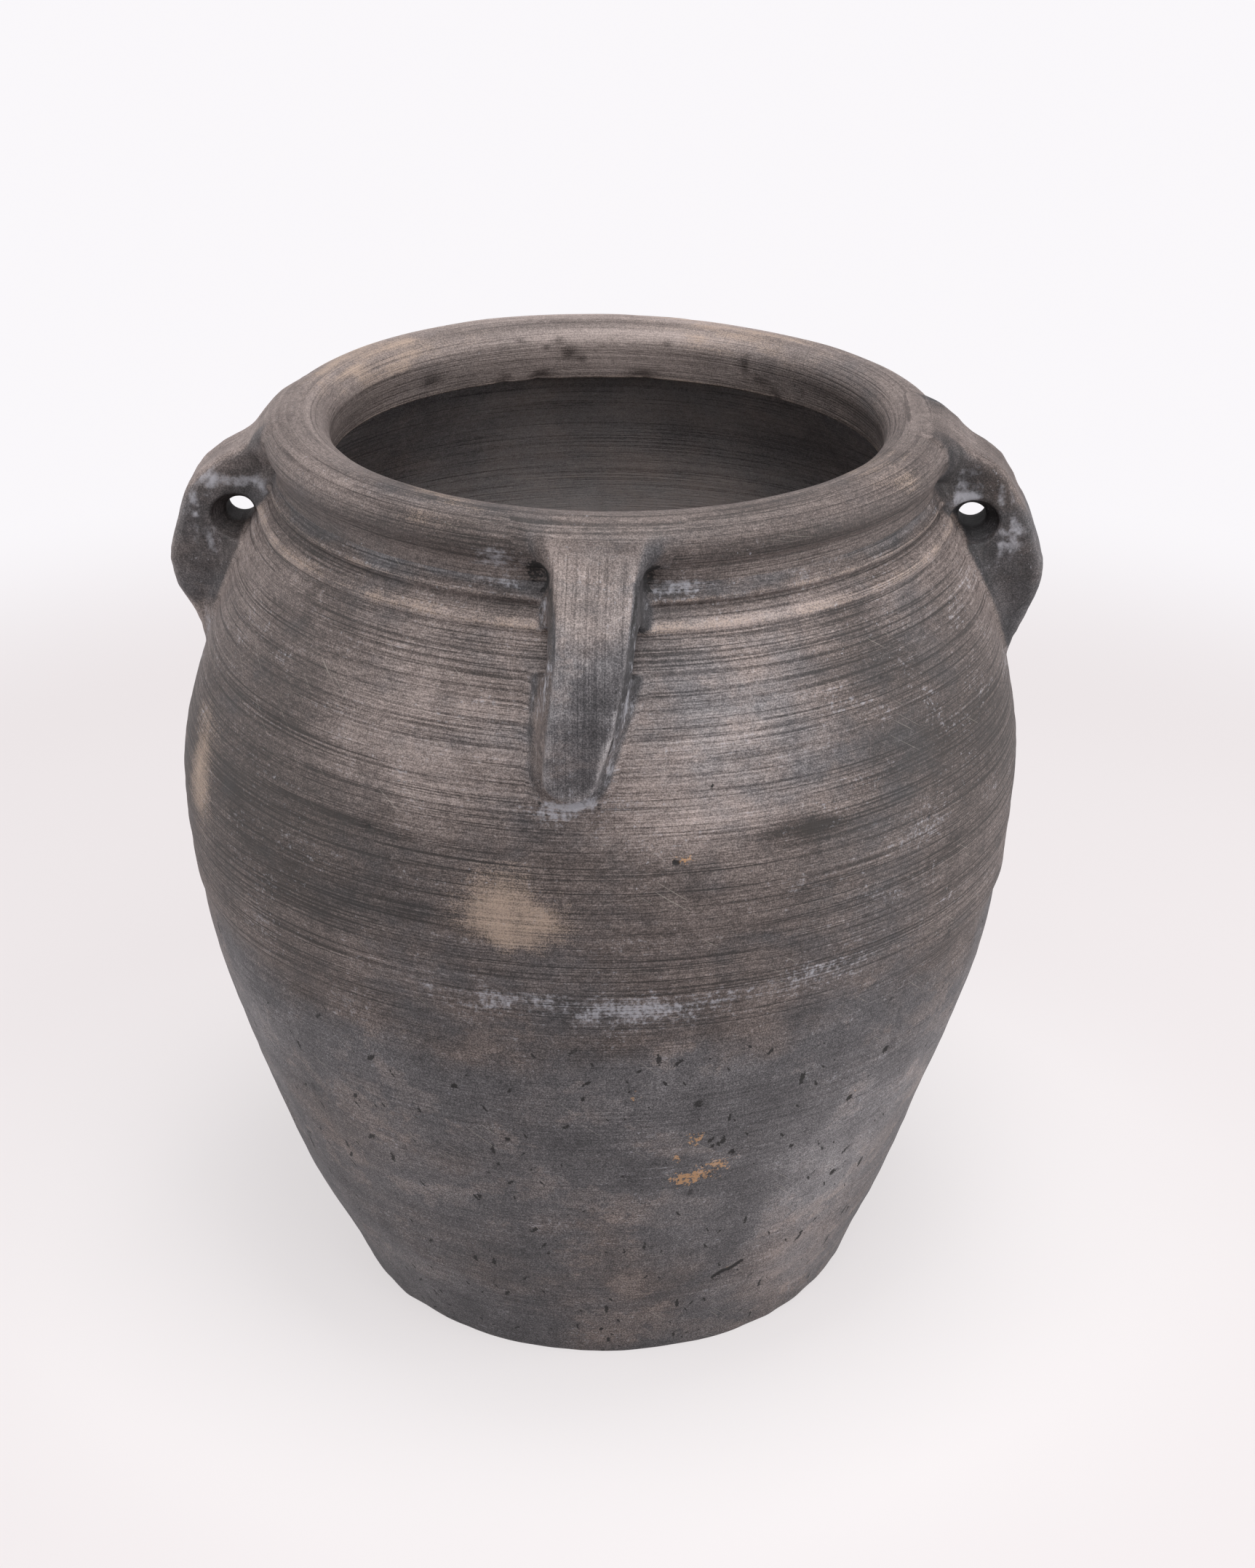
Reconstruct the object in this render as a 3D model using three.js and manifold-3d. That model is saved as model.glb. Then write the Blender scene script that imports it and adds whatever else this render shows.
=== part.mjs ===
// Smoked clay storage jar with four strap lugs, used as a garden planter.
// Millimetres, +Z up. The origin is on the floor under the jar's axis, and the front lug faces -Y.
import * as THREE from 'three';
import { mergeVertices } from 'three/addons/utils/BufferGeometryUtils.js';
import Module from 'manifold-3d';

// Body: heights are measured up from the floor
const jarHeight = 380;
const baseDiameter = 224;
const bellyDiameter = 348;
const bellyHeight = 232;
const seamHeight = 198; // where the upper half was set on the lower half
const baseFlare = 0.37; // outward run for each millimetre of height at the foot
const footFullness = 0.41; // how far up the foot's straight flare carries, as a part of bellyHeight
const bellyFullness = 0.32; // how long the wall stays upright under the belly, as a part of bellyHeight
const wallThickness = 11;
const floorThickness = 14;
const wallSeatDepth = 1; // depth of the step round the floor that the wall stands on
const wallSeatGap = 0.3; // the floor's raised middle stays this far inside the wall
const drainDiameter = 24;

// Shoulder and neck: drops are measured down from the top of the rim
const shoulderDrop = 41; // the shoulder ends and the neck begins
const shoulderSlope = 0.6; // inward run for each millimetre of height where the shoulder ends
const shoulderFullness = 0.3; // length of the shoulder's two curve handles, as a part of its height
const shoulderStep = 6.5; // how far the shoulder's end lies outside the neck
const neckDiameter = 268;
const ridgeDrops = [31.5, 39.5]; // crests of the two raised throwing ridges
const ridgeRelief = 1.8;
const ridgeHalfHeight = 3;

// Rolled rim
const rimOverhang = 3.6; // how far the roll stands out from the neck
const rimWidth = 25.6;
const rimRollHeight = 22.4; // height of the roll's oval section
const rimSeatDrop = 24.5; // the rim sits on the neck here, and its sharp inner lip ends here
const rimUnderAngle = 18; // degrees below level at which the roll turns in to the groove under it

// Strap lugs
const lugSides = ['front', 'right', 'back', 'left'];
const lugRootAngle = 50; // degrees above level at which the strap leaves the roll
const lugRootDepth = 2; // how far the strap's line starts inside the roll
const kneeDrop = 30;
const kneeReach = 34; // how far the upper bend stands out from the neck
const kneeRound = 15;
const peakDrop = 65;
const peakReach = 27; // how far the outermost bend stands out from the shoulder
const peakRound = 9;
const toeDrop = 98; // where the strap runs out on the shoulder
const strapWidth = 30;
const strapThickness = 9;
const webWidth = 24; // clay that closes the space between strap and wall
const eyeDiameter = 17;
const eyeDrop = 43;
const eyeSetIn = 2; // how far the eye's circle runs past the line of the wall
const lugSeatGap = 0.3;

// Facets
const turnSegments = 60;
const footSegments = 15;
const shoulderSegments = 10;
const neckSegments = 14;
const rollSegments = 11;
const bendSegments = 5;
const eyeSegments = 20;
const toeSegments = 10;

const bodyClay = new THREE.MeshStandardMaterial({ color: 0x56504d, roughness: 0.86, metalness: 0 });
const floorClay = new THREE.MeshStandardMaterial({ color: 0x4a4644, roughness: 0.9, metalness: 0 });
const lugClay = new THREE.MeshStandardMaterial({ color: 0x4f4b4a, roughness: 0.84, metalness: 0 });

const wasm = await Module();
wasm.setup();

// Places that several pieces share
const bellyRadius = bellyDiameter / 2;
const neckRadius = neckDiameter / 2;
const shoulderRadius = neckRadius + shoulderStep;
const shoulderHeight = jarHeight - shoulderDrop;
const wallSeatHeight = floorThickness - wallSeatDepth;
const rimSeatHeight = jarHeight - rimSeatDrop;
const rimRadius = neckRadius + rimOverhang;
const mouthRadius = rimRadius - rimWidth;
const rollRadius = rimRadius - rimWidth / 2;
const rollHeight = jarHeight - rimRollHeight / 2;

// Body line, foot to belly: a straight flare that bends upright
const footReach = footFullness * bellyHeight;
const footCurve = new THREE.CubicBezierCurve(
  new THREE.Vector2(baseDiameter / 2, 0),
  new THREE.Vector2(baseDiameter / 2 + baseFlare * footReach, footReach),
  new THREE.Vector2(bellyRadius, bellyHeight - bellyFullness * bellyHeight),
  new THREE.Vector2(bellyRadius, bellyHeight),
);

// Body line, belly to the end of the shoulder
const shoulderReach = shoulderFullness * (shoulderHeight - bellyHeight);
const shoulderCurve = new THREE.CubicBezierCurve(
  new THREE.Vector2(bellyRadius, bellyHeight),
  new THREE.Vector2(bellyRadius, bellyHeight + shoulderReach),
  new THREE.Vector2(shoulderRadius + shoulderSlope * shoulderReach, shoulderHeight - shoulderReach),
  new THREE.Vector2(shoulderRadius, shoulderHeight),
);

// Body line, shoulder to the seat of the rim: the slope turns upright
const neckCurve = new THREE.QuadraticBezierCurve(
  new THREE.Vector2(shoulderRadius, shoulderHeight),
  new THREE.Vector2(neckRadius, shoulderHeight + shoulderStep / shoulderSlope),
  new THREE.Vector2(neckRadius, rimSeatHeight),
);

const bodyLine = [
  ...footCurve.getPoints(footSegments),
  ...shoulderCurve.getPoints(shoulderSegments).slice(1),
  ...neckCurve.getPoints(neckSegments).slice(1),
];

function bodyRadius(height) {
  const above = Math.max(1, bodyLine.findIndex((point) => point.y >= height));
  const low = bodyLine[above - 1];
  const high = bodyLine[above];
  return THREE.MathUtils.mapLinear(height, low.y, high.y, low.x, high.x);
}

// The two raised ridges ride on the line of the neck
function ridgeRise(height) {
  let rise = 0;
  for (const drop of ridgeDrops) {
    const away = Math.abs(height - (jarHeight - drop)) / ridgeHalfHeight;
    if (away < 1) rise += ridgeRelief * Math.cos((away * Math.PI) / 2) ** 2;
  }
  return rise;
}

// Heights of the body line's points between two levels, with the levels themselves
function lineHeights(from, to) {
  const heights = bodyLine.map((point) => point.y);
  return [from, ...heights.filter((height) => height > from && height < to), to];
}

function outerLine(from, to, gap = 0) {
  return lineHeights(from, to).map((height) => {
    return new THREE.Vector2(bodyRadius(height) + ridgeRise(height) + gap, height);
  });
}

// The inside follows the outside at the thickness of the wall, on every other point
function innerLine(from, to) {
  const heights = lineHeights(from, to);
  const kept = heights.filter((height, place) => place % 2 === 0 || place === heights.length - 1);
  return kept.map((height) => new THREE.Vector2(bodyRadius(height) - wallThickness, height));
}

// A closed section of (radius, height) points, turned about +Z
function turned(section) {
  const geometry = new THREE.LatheGeometry([...section, section[0]], turnSegments);
  return geometry.rotateX(Math.PI / 2);
}

function wallRing(from, to) {
  return turned([...outerLine(from, to), ...innerLine(from, to).reverse()]);
}

function floorSlab() {
  const drainRadius = drainDiameter / 2;
  const raisedRadius = bodyRadius(wallSeatHeight) - wallThickness - wallSeatGap;
  return turned([
    new THREE.Vector2(drainRadius, 0),
    ...outerLine(0, wallSeatHeight),
    new THREE.Vector2(raisedRadius, wallSeatHeight),
    new THREE.Vector2(raisedRadius, floorThickness),
    new THREE.Vector2(drainRadius, floorThickness),
  ]);
}

// Oval roll on an upright band, with a groove under the roll and a square inner lip
function rimRing(gap = 0) {
  const halfWidth = rimWidth / 2 + gap;
  const halfHeight = rimRollHeight / 2 + gap;
  const underAngle = THREE.MathUtils.degToRad(-rimUnderAngle);
  const roll = new THREE.EllipseCurve(rollRadius, rollHeight, halfWidth, halfHeight, underAngle, Math.PI);
  const oval = roll.getPoints(rollSegments);
  const bandRadius = neckRadius + gap;
  const undercut = oval[0].x - bandRadius;
  return turned([
    new THREE.Vector2(bandRadius, rimSeatHeight),
    new THREE.Vector2(bandRadius, oval[0].y - undercut),
    ...oval,
    new THREE.Vector2(mouthRadius - gap, rimSeatHeight),
  ]);
}

function toSolid(geometry) {
  geometry.deleteAttribute('normal');
  geometry.deleteAttribute('uv');
  const merged = mergeVertices(geometry);
  const vertProperties = new Float32Array(merged.attributes.position.array);
  const triVerts = new Uint32Array(merged.index.array);
  return new wasm.Manifold(new wasm.Mesh({ numProp: 3, vertProperties, triVerts }));
}

function toGeometry(solid) {
  const mesh = solid.getMesh();
  const geometry = new THREE.BufferGeometry();
  geometry.setAttribute('position', new THREE.BufferAttribute(mesh.vertProperties, 3));
  geometry.setIndex(new THREE.BufferAttribute(mesh.triVerts, 1));
  geometry.computeVertexNormals();
  return geometry;
}

// Outer line of a strap in its upright plane: rim, upper bend, outermost bend, toe
function strapLine() {
  const rootAngle = THREE.MathUtils.degToRad(lugRootAngle);
  const root = new THREE.Vector2(
    rollRadius + (rimWidth / 2 - lugRootDepth) * Math.cos(rootAngle),
    rollHeight + (rimRollHeight / 2 - lugRootDepth) * Math.sin(rootAngle),
  );
  const knee = new THREE.Vector2(neckRadius + kneeReach, jarHeight - kneeDrop);
  const peakHeight = jarHeight - peakDrop;
  const peak = new THREE.Vector2(bodyRadius(peakHeight) + peakReach, peakHeight);
  const toeHeight = jarHeight - toeDrop;
  const toe = new THREE.Vector2(bodyRadius(toeHeight), toeHeight);
  const path = new THREE.Path([root]);
  const bends = [
    { from: root, corner: knee, to: peak, round: kneeRound },
    { from: knee, corner: peak, to: toe, round: peakRound },
  ];
  for (const { from, corner, to, round } of bends) {
    const enter = from.clone().sub(corner).setLength(round).add(corner);
    const leave = to.clone().sub(corner).setLength(round).add(corner);
    path.lineTo(enter.x, enter.y);
    path.quadraticCurveTo(corner.x, corner.y, leave.x, leave.y);
  }
  path.lineTo(toe.x, toe.y);
  return path.getPoints(bendSegments);
}

// The same line moved towards the wall
function inwardLine(line, distance) {
  return line.map((point, place) => {
    const before = line[Math.max(0, place - 1)];
    const after = line[Math.min(line.length - 1, place + 1)];
    const run = after.clone().sub(before).setLength(distance);
    return new THREE.Vector2(point.x + run.y, point.y - run.x);
  });
}

// An upright (radius, height) outline, made solid across the plane of the front lug
function acrossLug(outline, width) {
  const shape = new THREE.Shape(outline);
  const geometry = new THREE.ExtrudeGeometry(shape, { depth: width, bevelEnabled: false });
  const standing = new THREE.Matrix4().makeBasis(
    new THREE.Vector3(0, -1, 0),
    new THREE.Vector3(0, 0, 1),
    new THREE.Vector3(-1, 0, 0),
  );
  geometry.translate(0, 0, -width / 2);
  return toSolid(geometry.applyMatrix4(standing));
}

// Round-ended strip, seen from the front, that gives the strap its toe
function toeTrim() {
  const toeRadius = strapWidth / 2;
  const strip = new THREE.Shape();
  strip.moveTo(toeRadius, jarHeight);
  strip.lineTo(-toeRadius, jarHeight);
  strip.absarc(0, jarHeight - toeDrop + toeRadius, toeRadius, Math.PI, 2 * Math.PI, false);
  const depth = bellyRadius + kneeReach + peakReach;
  const options = { depth, bevelEnabled: false, curveSegments: toeSegments };
  const geometry = new THREE.ExtrudeGeometry(strip, options);
  return toSolid(geometry.rotateX(Math.PI / 2));
}

// All that a lug is pressed against, grown by the seat gap
function lugSeat() {
  const deepInside = mouthRadius / 2;
  const wall = turned([
    new THREE.Vector2(deepInside, 0),
    ...outerLine(0, rimSeatHeight, lugSeatGap),
    new THREE.Vector2(deepInside, rimSeatHeight),
  ]);
  return toSolid(wall).add(toSolid(rimRing(lugSeatGap)));
}

function strapLug() {
  const outside = strapLine();
  const underside = inwardLine(outside, strapThickness).reverse();
  const strap = acrossLug([...outside, ...underside], strapWidth);
  const middle = inwardLine(outside, strapThickness / 2);
  const web = acrossLug(
    [...middle, new THREE.Vector2(rollRadius, middle.at(-1).y), new THREE.Vector2(rollRadius, middle[0].y)],
    webWidth,
  );
  const eyeHeight = jarHeight - eyeDrop;
  const eyeRadius = eyeDiameter / 2;
  const eye = new THREE.CylinderGeometry(eyeRadius, eyeRadius, 2 * strapWidth, eyeSegments);
  eye.rotateZ(Math.PI / 2);
  eye.translate(0, -(bodyRadius(eyeHeight) + eyeRadius - eyeSetIn), eyeHeight);
  const lug = strap.add(web).intersect(toeTrim()).subtract(toSolid(eye)).subtract(lugSeat());
  return toGeometry(lug);
}

const jar = new THREE.Group();

function place(name, geometry, material) {
  const mesh = new THREE.Mesh(geometry, material);
  mesh.name = name;
  jar.add(mesh);
  return mesh;
}

place('floor_disc', floorSlab(), floorClay);
place('lower_wall', wallRing(wallSeatHeight, seamHeight), bodyClay);
place('upper_wall', wallRing(seamHeight, rimSeatHeight), bodyClay);
place('rim_roll', rimRing(), bodyClay);

const lugGeometry = strapLug();
lugSides.forEach((side, turn) => {
  const lug = place(`lug_${side}`, lugGeometry, lugClay);
  lug.rotation.z = (turn * 2 * Math.PI) / lugSides.length;
});

export default jar;
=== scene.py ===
import math

import bpy
import numpy as np
from mathutils import Matrix, Vector


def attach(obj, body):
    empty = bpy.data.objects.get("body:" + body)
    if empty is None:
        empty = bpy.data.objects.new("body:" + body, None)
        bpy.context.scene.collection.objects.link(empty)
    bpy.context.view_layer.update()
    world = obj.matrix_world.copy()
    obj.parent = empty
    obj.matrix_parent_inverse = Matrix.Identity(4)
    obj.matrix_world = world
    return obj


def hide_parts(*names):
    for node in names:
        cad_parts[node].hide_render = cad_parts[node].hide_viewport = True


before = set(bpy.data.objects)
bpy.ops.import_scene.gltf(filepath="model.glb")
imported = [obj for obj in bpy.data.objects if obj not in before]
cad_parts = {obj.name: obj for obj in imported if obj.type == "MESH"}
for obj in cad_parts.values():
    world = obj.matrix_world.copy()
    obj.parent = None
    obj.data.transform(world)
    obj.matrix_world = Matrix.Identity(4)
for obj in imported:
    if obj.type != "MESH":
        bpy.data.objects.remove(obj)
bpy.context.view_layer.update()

fullTurn = 2 * math.pi
print("frame loaded:", len(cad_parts), "clay pieces")

jar = {
    "height": 0.380,
    "wall": 0.011,
    "floor": 0.014,
    "seam": 0.198,  # where the two halves were set together
    "rimSeat": 0.3555,
    "bandTop": 0.3660,  # where the neck runs into the rolled rim
    "drainRadius": 0.012,
    "viewTurn": 2.5,  # degrees from the front lug round to the middle of the picture
    "lugAngles": [0, 90, 180, 270],
    "outline": [  # height and radius of the outside
        (0.0000, 0.1094), (0.0060, 0.1117), (0.0130, 0.1145), (0.0266, 0.1203), (0.0456, 0.1288),
        (0.0684, 0.1370), (0.0950, 0.1462), (0.1254, 0.1565), (0.1558, 0.1650), (0.1862, 0.1702),
        (0.2128, 0.1736), (0.2394, 0.1738), (0.2660, 0.1691), (0.2926, 0.1617), (0.3192, 0.1514),
        (0.3330, 0.1444), (0.3400, 0.1402), (0.3455, 0.1368), (0.3510, 0.1350), (0.3560, 0.1343),
        (0.3660, 0.1341),
    ],
    "sway": [  # height and sideways lean of the hand-built body
        (0.0, 0.0003), (0.076, -0.0025), (0.152, -0.0023),
        (0.228, -0.0013), (0.293, 0.0012), (0.380, 0.0010),
    ],
    "rimTilt": 0.0113,
    "aroundSteps": 640,
    "lowerRows": (136, 16),  # rows of points outside and inside
    "upperRows": (132, 20),
}


# number helpers

def mixed(first, second, amount):
    return first * (1 - amount) + second * amount


def unit(x):
    return np.clip(x, 0, 1)


def softStep(low, high, x):
    t = unit((x - low) / (high - low))
    return t * t * (3 - 2 * t)


def band(x, start, full, fade, end):  # rises from start to full and falls from fade to end
    return softStep(start, full, x) * softStep(end, fade, x)


def hump(x, middle, half):
    return np.exp(-(((x - middle) / half) ** 2))


def mound(across, up):
    return np.exp(-(across**2 + up**2))


def softLine(points):  # smooth line through points, returned as a function
    x, y = np.array(points, float).T
    slope = np.gradient(y, x)

    def at(q):
        k = np.clip(np.searchsorted(x, q) - 1, 0, len(x) - 2)
        h = x[k + 1] - x[k]
        t = unit((q - x[k]) / h)
        rise = (2 * t**3 - 3 * t**2 + 1) * y[k] + (t**3 - 2 * t**2 + t) * h * slope[k]
        return rise + (3 * t**2 - 2 * t**3) * y[k + 1] + (t**3 - t**2) * h * slope[k + 1]

    return at


latticeTables = {}
latticeRows = 1024


def lattice(u, v, seed, wrap):  # soft noise from -1 to 1 that closes after wrap cells in u
    key = (seed, wrap)
    if key not in latticeTables:
        latticeTables[key] = np.random.default_rng(seed).uniform(-1, 1, (wrap, latticeRows))
    table = latticeTables[key]
    i = np.floor(u).astype(int)
    j = np.floor(v).astype(int)
    fu = softStep(0, 1, u - i)
    fv = softStep(0, 1, v - j)
    left = i % wrap
    right = (i + 1) % wrap
    under = j % latticeRows
    over = (j + 1) % latticeRows
    low = mixed(table[left, under], table[right, under], fu)
    high = mixed(table[left, over], table[right, over], fu)
    return mixed(low, high, fv)


def around(theta, z, cells, tall, seed):  # noise on the jar, cells round it and tall metres high
    return lattice(theta / fullTurn * cells, z / tall + 60, seed, cells)


def roundOnly(theta, cells, seed):  # noise that changes with the angle alone
    return around(theta, theta * 0, cells, 1, seed)


def layers(theta, z, rows):  # noises added up: amount, cells round, height, seed
    total = 0
    for amount, cells, tall, seed in rows:
        total = total + amount * around(theta, z, cells, tall, seed)
    return total


def angleApart(theta, degrees):  # degrees between a point and a place seen in the picture
    away = np.degrees(theta) - degrees - jar["viewTurn"]
    return (away + 180) % 360 - 180


def blob(theta, share, place, reach):  # soft spot at (degrees, height share)
    return mound(angleApart(theta, place[0]) / reach[0], (share - place[1]) / reach[1])


def sector(theta, degrees, wide):  # soft spot in angle alone
    return hump(angleApart(theta, degrees), 0, wide)


def sumSpots(theta, share, spots):  # degrees, height share, half widths, amount
    total = np.zeros_like(theta)
    for degrees, high, wide, tall, amount in spots:
        total += amount * blob(theta, share, (degrees, high), (wide, tall))
    return total


outlineAt = softLine(jar["outline"])
swayAt = softLine(jar["sway"])


# body surface

wallForm = {
    "upperRidge": {"height": 0.3492, "rise": 0.0017, "above": 0.0026, "below": 0.0011, "seed": 31},
    "lowerRidge": {"height": 0.3405, "rise": 0.0018, "above": 0.0022, "below": 0.0022, "seed": 32},
    "ridgeCuts": [(0.3466, 0.0009, 0.0011), (0.3372, 0.0006, 0.0012)],  # height, depth, half height
    "smearReach": 7.5,  # degrees beside a lug where the ridges were wiped flat
    "lugDents": {"apart": 8.7, "height": 0.3585, "wide": 2.6, "tall": 0.0048, "deep": 0.0024},
    "rimFlow": {"start": 0.3568, "end": 0.3672, "out": 0.0031},  # the neck runs out into the rolled rim
    "rimGroove": {"height": 0.3622, "tall": 0.0011, "deep": 0.0007, "middle": 34, "reach": 30},
    "seamSwells": [(0.193, 0.0010, 0.0075), (0.181, -0.0006, 0.0050)],  # height, rise, half height
    "foot": {"height": 0.050, "forward": 0.0012, "oval": 0.0014},  # pressed a little oval while wet
    "footWear": {"deep": 0.0007, "height": 0.0014},
    "slab": [(0.0008, 5, 0.13, 1), (0.0004, 12, 0.055, 2)],  # amount, cells round, height, seed
    "ripple": [(0.00020, 34, 0.022, 3)],
    "thrown": [(0.00016, 3, 0.0042, 6), (0.00010, 5, 0.0023, 7), (0.00028, 2, 0.013, 8)],
    "scraped": [(0.00030, 64, 0.075, 9), (0.00014, 120, 0.009, 10), (0.00010, 16, 0.004, 12)],
    "insideRings": [(0.0005, 2, 0.008, 21), (0.0006, 8, 0.04, 22)],
    "pits": [  # degrees, height share, radius, depth
        (-20, 0.405, 0.0019, 0.0009), (-2, 0.405, 0.0016, 0.0008), (4, 0.400, 0.0014, 0.0007),
        (45, 0.390, 0.0024, 0.0010), (-13, 0.340, 0.0017, 0.0008), (40, 0.340, 0.0021, 0.0010),
        (17, 0.325, 0.0016, 0.0008), (20.5, 0.310, 0.0020, 0.0010), (31, 0.295, 0.0018, 0.0008),
        (4, 0.290, 0.0015, 0.0007), (-15, 0.300, 0.0016, 0.0007), (-13, 0.250, 0.0015, 0.0007),
        (43, 0.220, 0.0021, 0.0010), (45.5, 0.226, 0.0014, 0.0008), (40, 0.137, 0.0018, 0.0008),
        (9, 0.680, 0.0020, 0.0008), (14, 0.390, 0.0026, 0.0008),
    ],
    "gouge": [(21.6, 0.108), (23.4, 0.1165), (24.3, 0.1160), (26.9, 0.1260)],
    "gougeSize": (0.55, 0.0038),
    "gougeDepth": 0.0010,
    "strayPits": 170,
}


def besideLug(theta, lug):  # degrees between a point and the middle of a lug
    return np.abs(angleApart(theta, lug - jar["viewTurn"]))


def ridgeRise(theta, z):
    wiped = np.ones_like(theta)
    for lug in jar["lugAngles"]:
        wiped *= softStep(0.7, 1.25, besideLug(theta, lug) / wallForm["smearReach"])
    rise = np.zeros_like(theta)
    for name in ("upperRidge", "lowerRidge"):
        ridge = wallForm[name]
        level = z - ridge["height"] - 0.0005 * roundOnly(theta, 7, ridge["seed"])
        width = np.where(level > 0, ridge["above"], ridge["below"])
        uneven = 0.85 + 0.3 * roundOnly(theta, 13, ridge["seed"] + 4)
        rise += ridge["rise"] * uneven * hump(level, 0, width)
    for height, depth, tall in wallForm["ridgeCuts"]:
        rise -= depth * hump(z, height, tall)
    return rise * (0.25 + 0.75 * wiped)


def strayPitList():
    pick = np.random.default_rng(77)
    pits = []
    while len(pits) < wallForm["strayPits"]:
        place = (pick.uniform(-180, 180), pick.uniform(0.05, 0.86))
        size = pick.uniform(0.0007, 0.0019)
        if place[1] > 0.52 and pick.random() < 0.55:
            continue  # the thrown upper half has fewer
        pits.append((*place, size, size * pick.uniform(0.25, 0.45)))
    return pits


allPits = wallForm["pits"] + strayPitList()


def pitDepth(theta, z):
    depth = np.zeros_like(theta)
    for degrees, share, radius, deep in allPits:
        height = share * jar["height"]
        reach = radius * 2.4
        near = np.abs(z - height) < reach
        near &= np.abs(angleApart(theta, degrees)) < np.degrees(reach / 0.11)
        if not near.any():
            continue
        across = np.radians(angleApart(theta[near], degrees)) * outlineAt(height)
        away = np.hypot(across, z[near] - height) / radius
        hollow = np.exp(-(away**3)) - 0.12 * hump(away, 1.5, 0.45)  # with a low burr round it
        depth[near] = np.maximum(depth[near], deep * hollow)
    for (a, low), (b, high) in zip(wallForm["gouge"], wallForm["gouge"][1:]):
        for t in np.linspace(0, 1, 7):
            place = (a + (b - a) * t, low + (high - low) * t)
            spot = blob(theta, z / jar["height"], place, wallForm["gougeSize"])
            depth = np.maximum(depth, wallForm["gougeDepth"] * spot)
    return depth


def dentShade(theta, z):  # thumb dents beside the roots of the lugs
    dent = wallForm["lugDents"]
    shade = np.zeros_like(theta)
    for lug in jar["lugAngles"]:
        away = (besideLug(theta, lug) - dent["apart"]) / dent["wide"]
        shade += mound(away, (z - dent["height"]) / dent["tall"])
    return shade


def underRim(theta, z):  # the sweep out to the rim, its groove and the thumb dents
    flow = wallForm["rimFlow"]
    groove = wallForm["rimGroove"]
    line = hump(z, groove["height"], groove["tall"]) * sector(theta, groove["middle"], groove["reach"])
    form = flow["out"] * softStep(flow["start"], flow["end"], z) - groove["deep"] * line
    return form - wallForm["lugDents"]["deep"] * dentShade(theta, z)


def footShape(theta, z):  # how the foot was pressed and then worn at its standing edge
    foot = wallForm["foot"]
    wear = wallForm["footWear"]
    facing = np.radians(angleApart(theta, 0))
    pressed = foot["forward"] * np.cos(facing) + foot["oval"] * np.cos(2 * facing)
    worn = wear["deep"] * np.exp(-z / wear["height"]) * (1 + 0.6 * roundOnly(theta, 60, 13))
    return pressed * softStep(foot["height"], 0.0, z) - worn


def outerRadius(theta, z):
    form = wallForm
    upper = softStep(0.186, 0.206, z + 0.004 * around(theta, z, 9, 0.05, 5))
    skin = layers(theta, z, form["slab"]) * (0.3 + 0.7 * softStep(0.02, 0.12, z))
    skin += layers(theta, z, form["ripple"])
    skin += mixed(layers(theta, z, form["scraped"]), layers(theta, z, form["thrown"]), upper)
    uneven = 0.65 + 0.5 * roundOnly(theta, 14, 11)
    for height, rise, tall in form["seamSwells"]:
        skin += rise * uneven * hump(z, height, tall)
    skin += footShape(theta, z) + ridgeRise(theta, z) + underRim(theta, z) - pitDepth(theta, z)
    return outlineAt(z) + skin


def innerRadius(theta, z):
    return outlineAt(z) - jar["wall"] + layers(theta, z, wallForm["insideRings"])


def handBent(points):  # the lean of the body and the tilt of the rim
    bent = points.copy()
    bent[:, 0] += swayAt(points[:, 2])
    bent[:, 2] -= jar["rimTilt"] * points[:, 0] * softStep(0.29, 0.37, points[:, 2])
    return bent


# paint: soft masks that the clay shader reads

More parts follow.
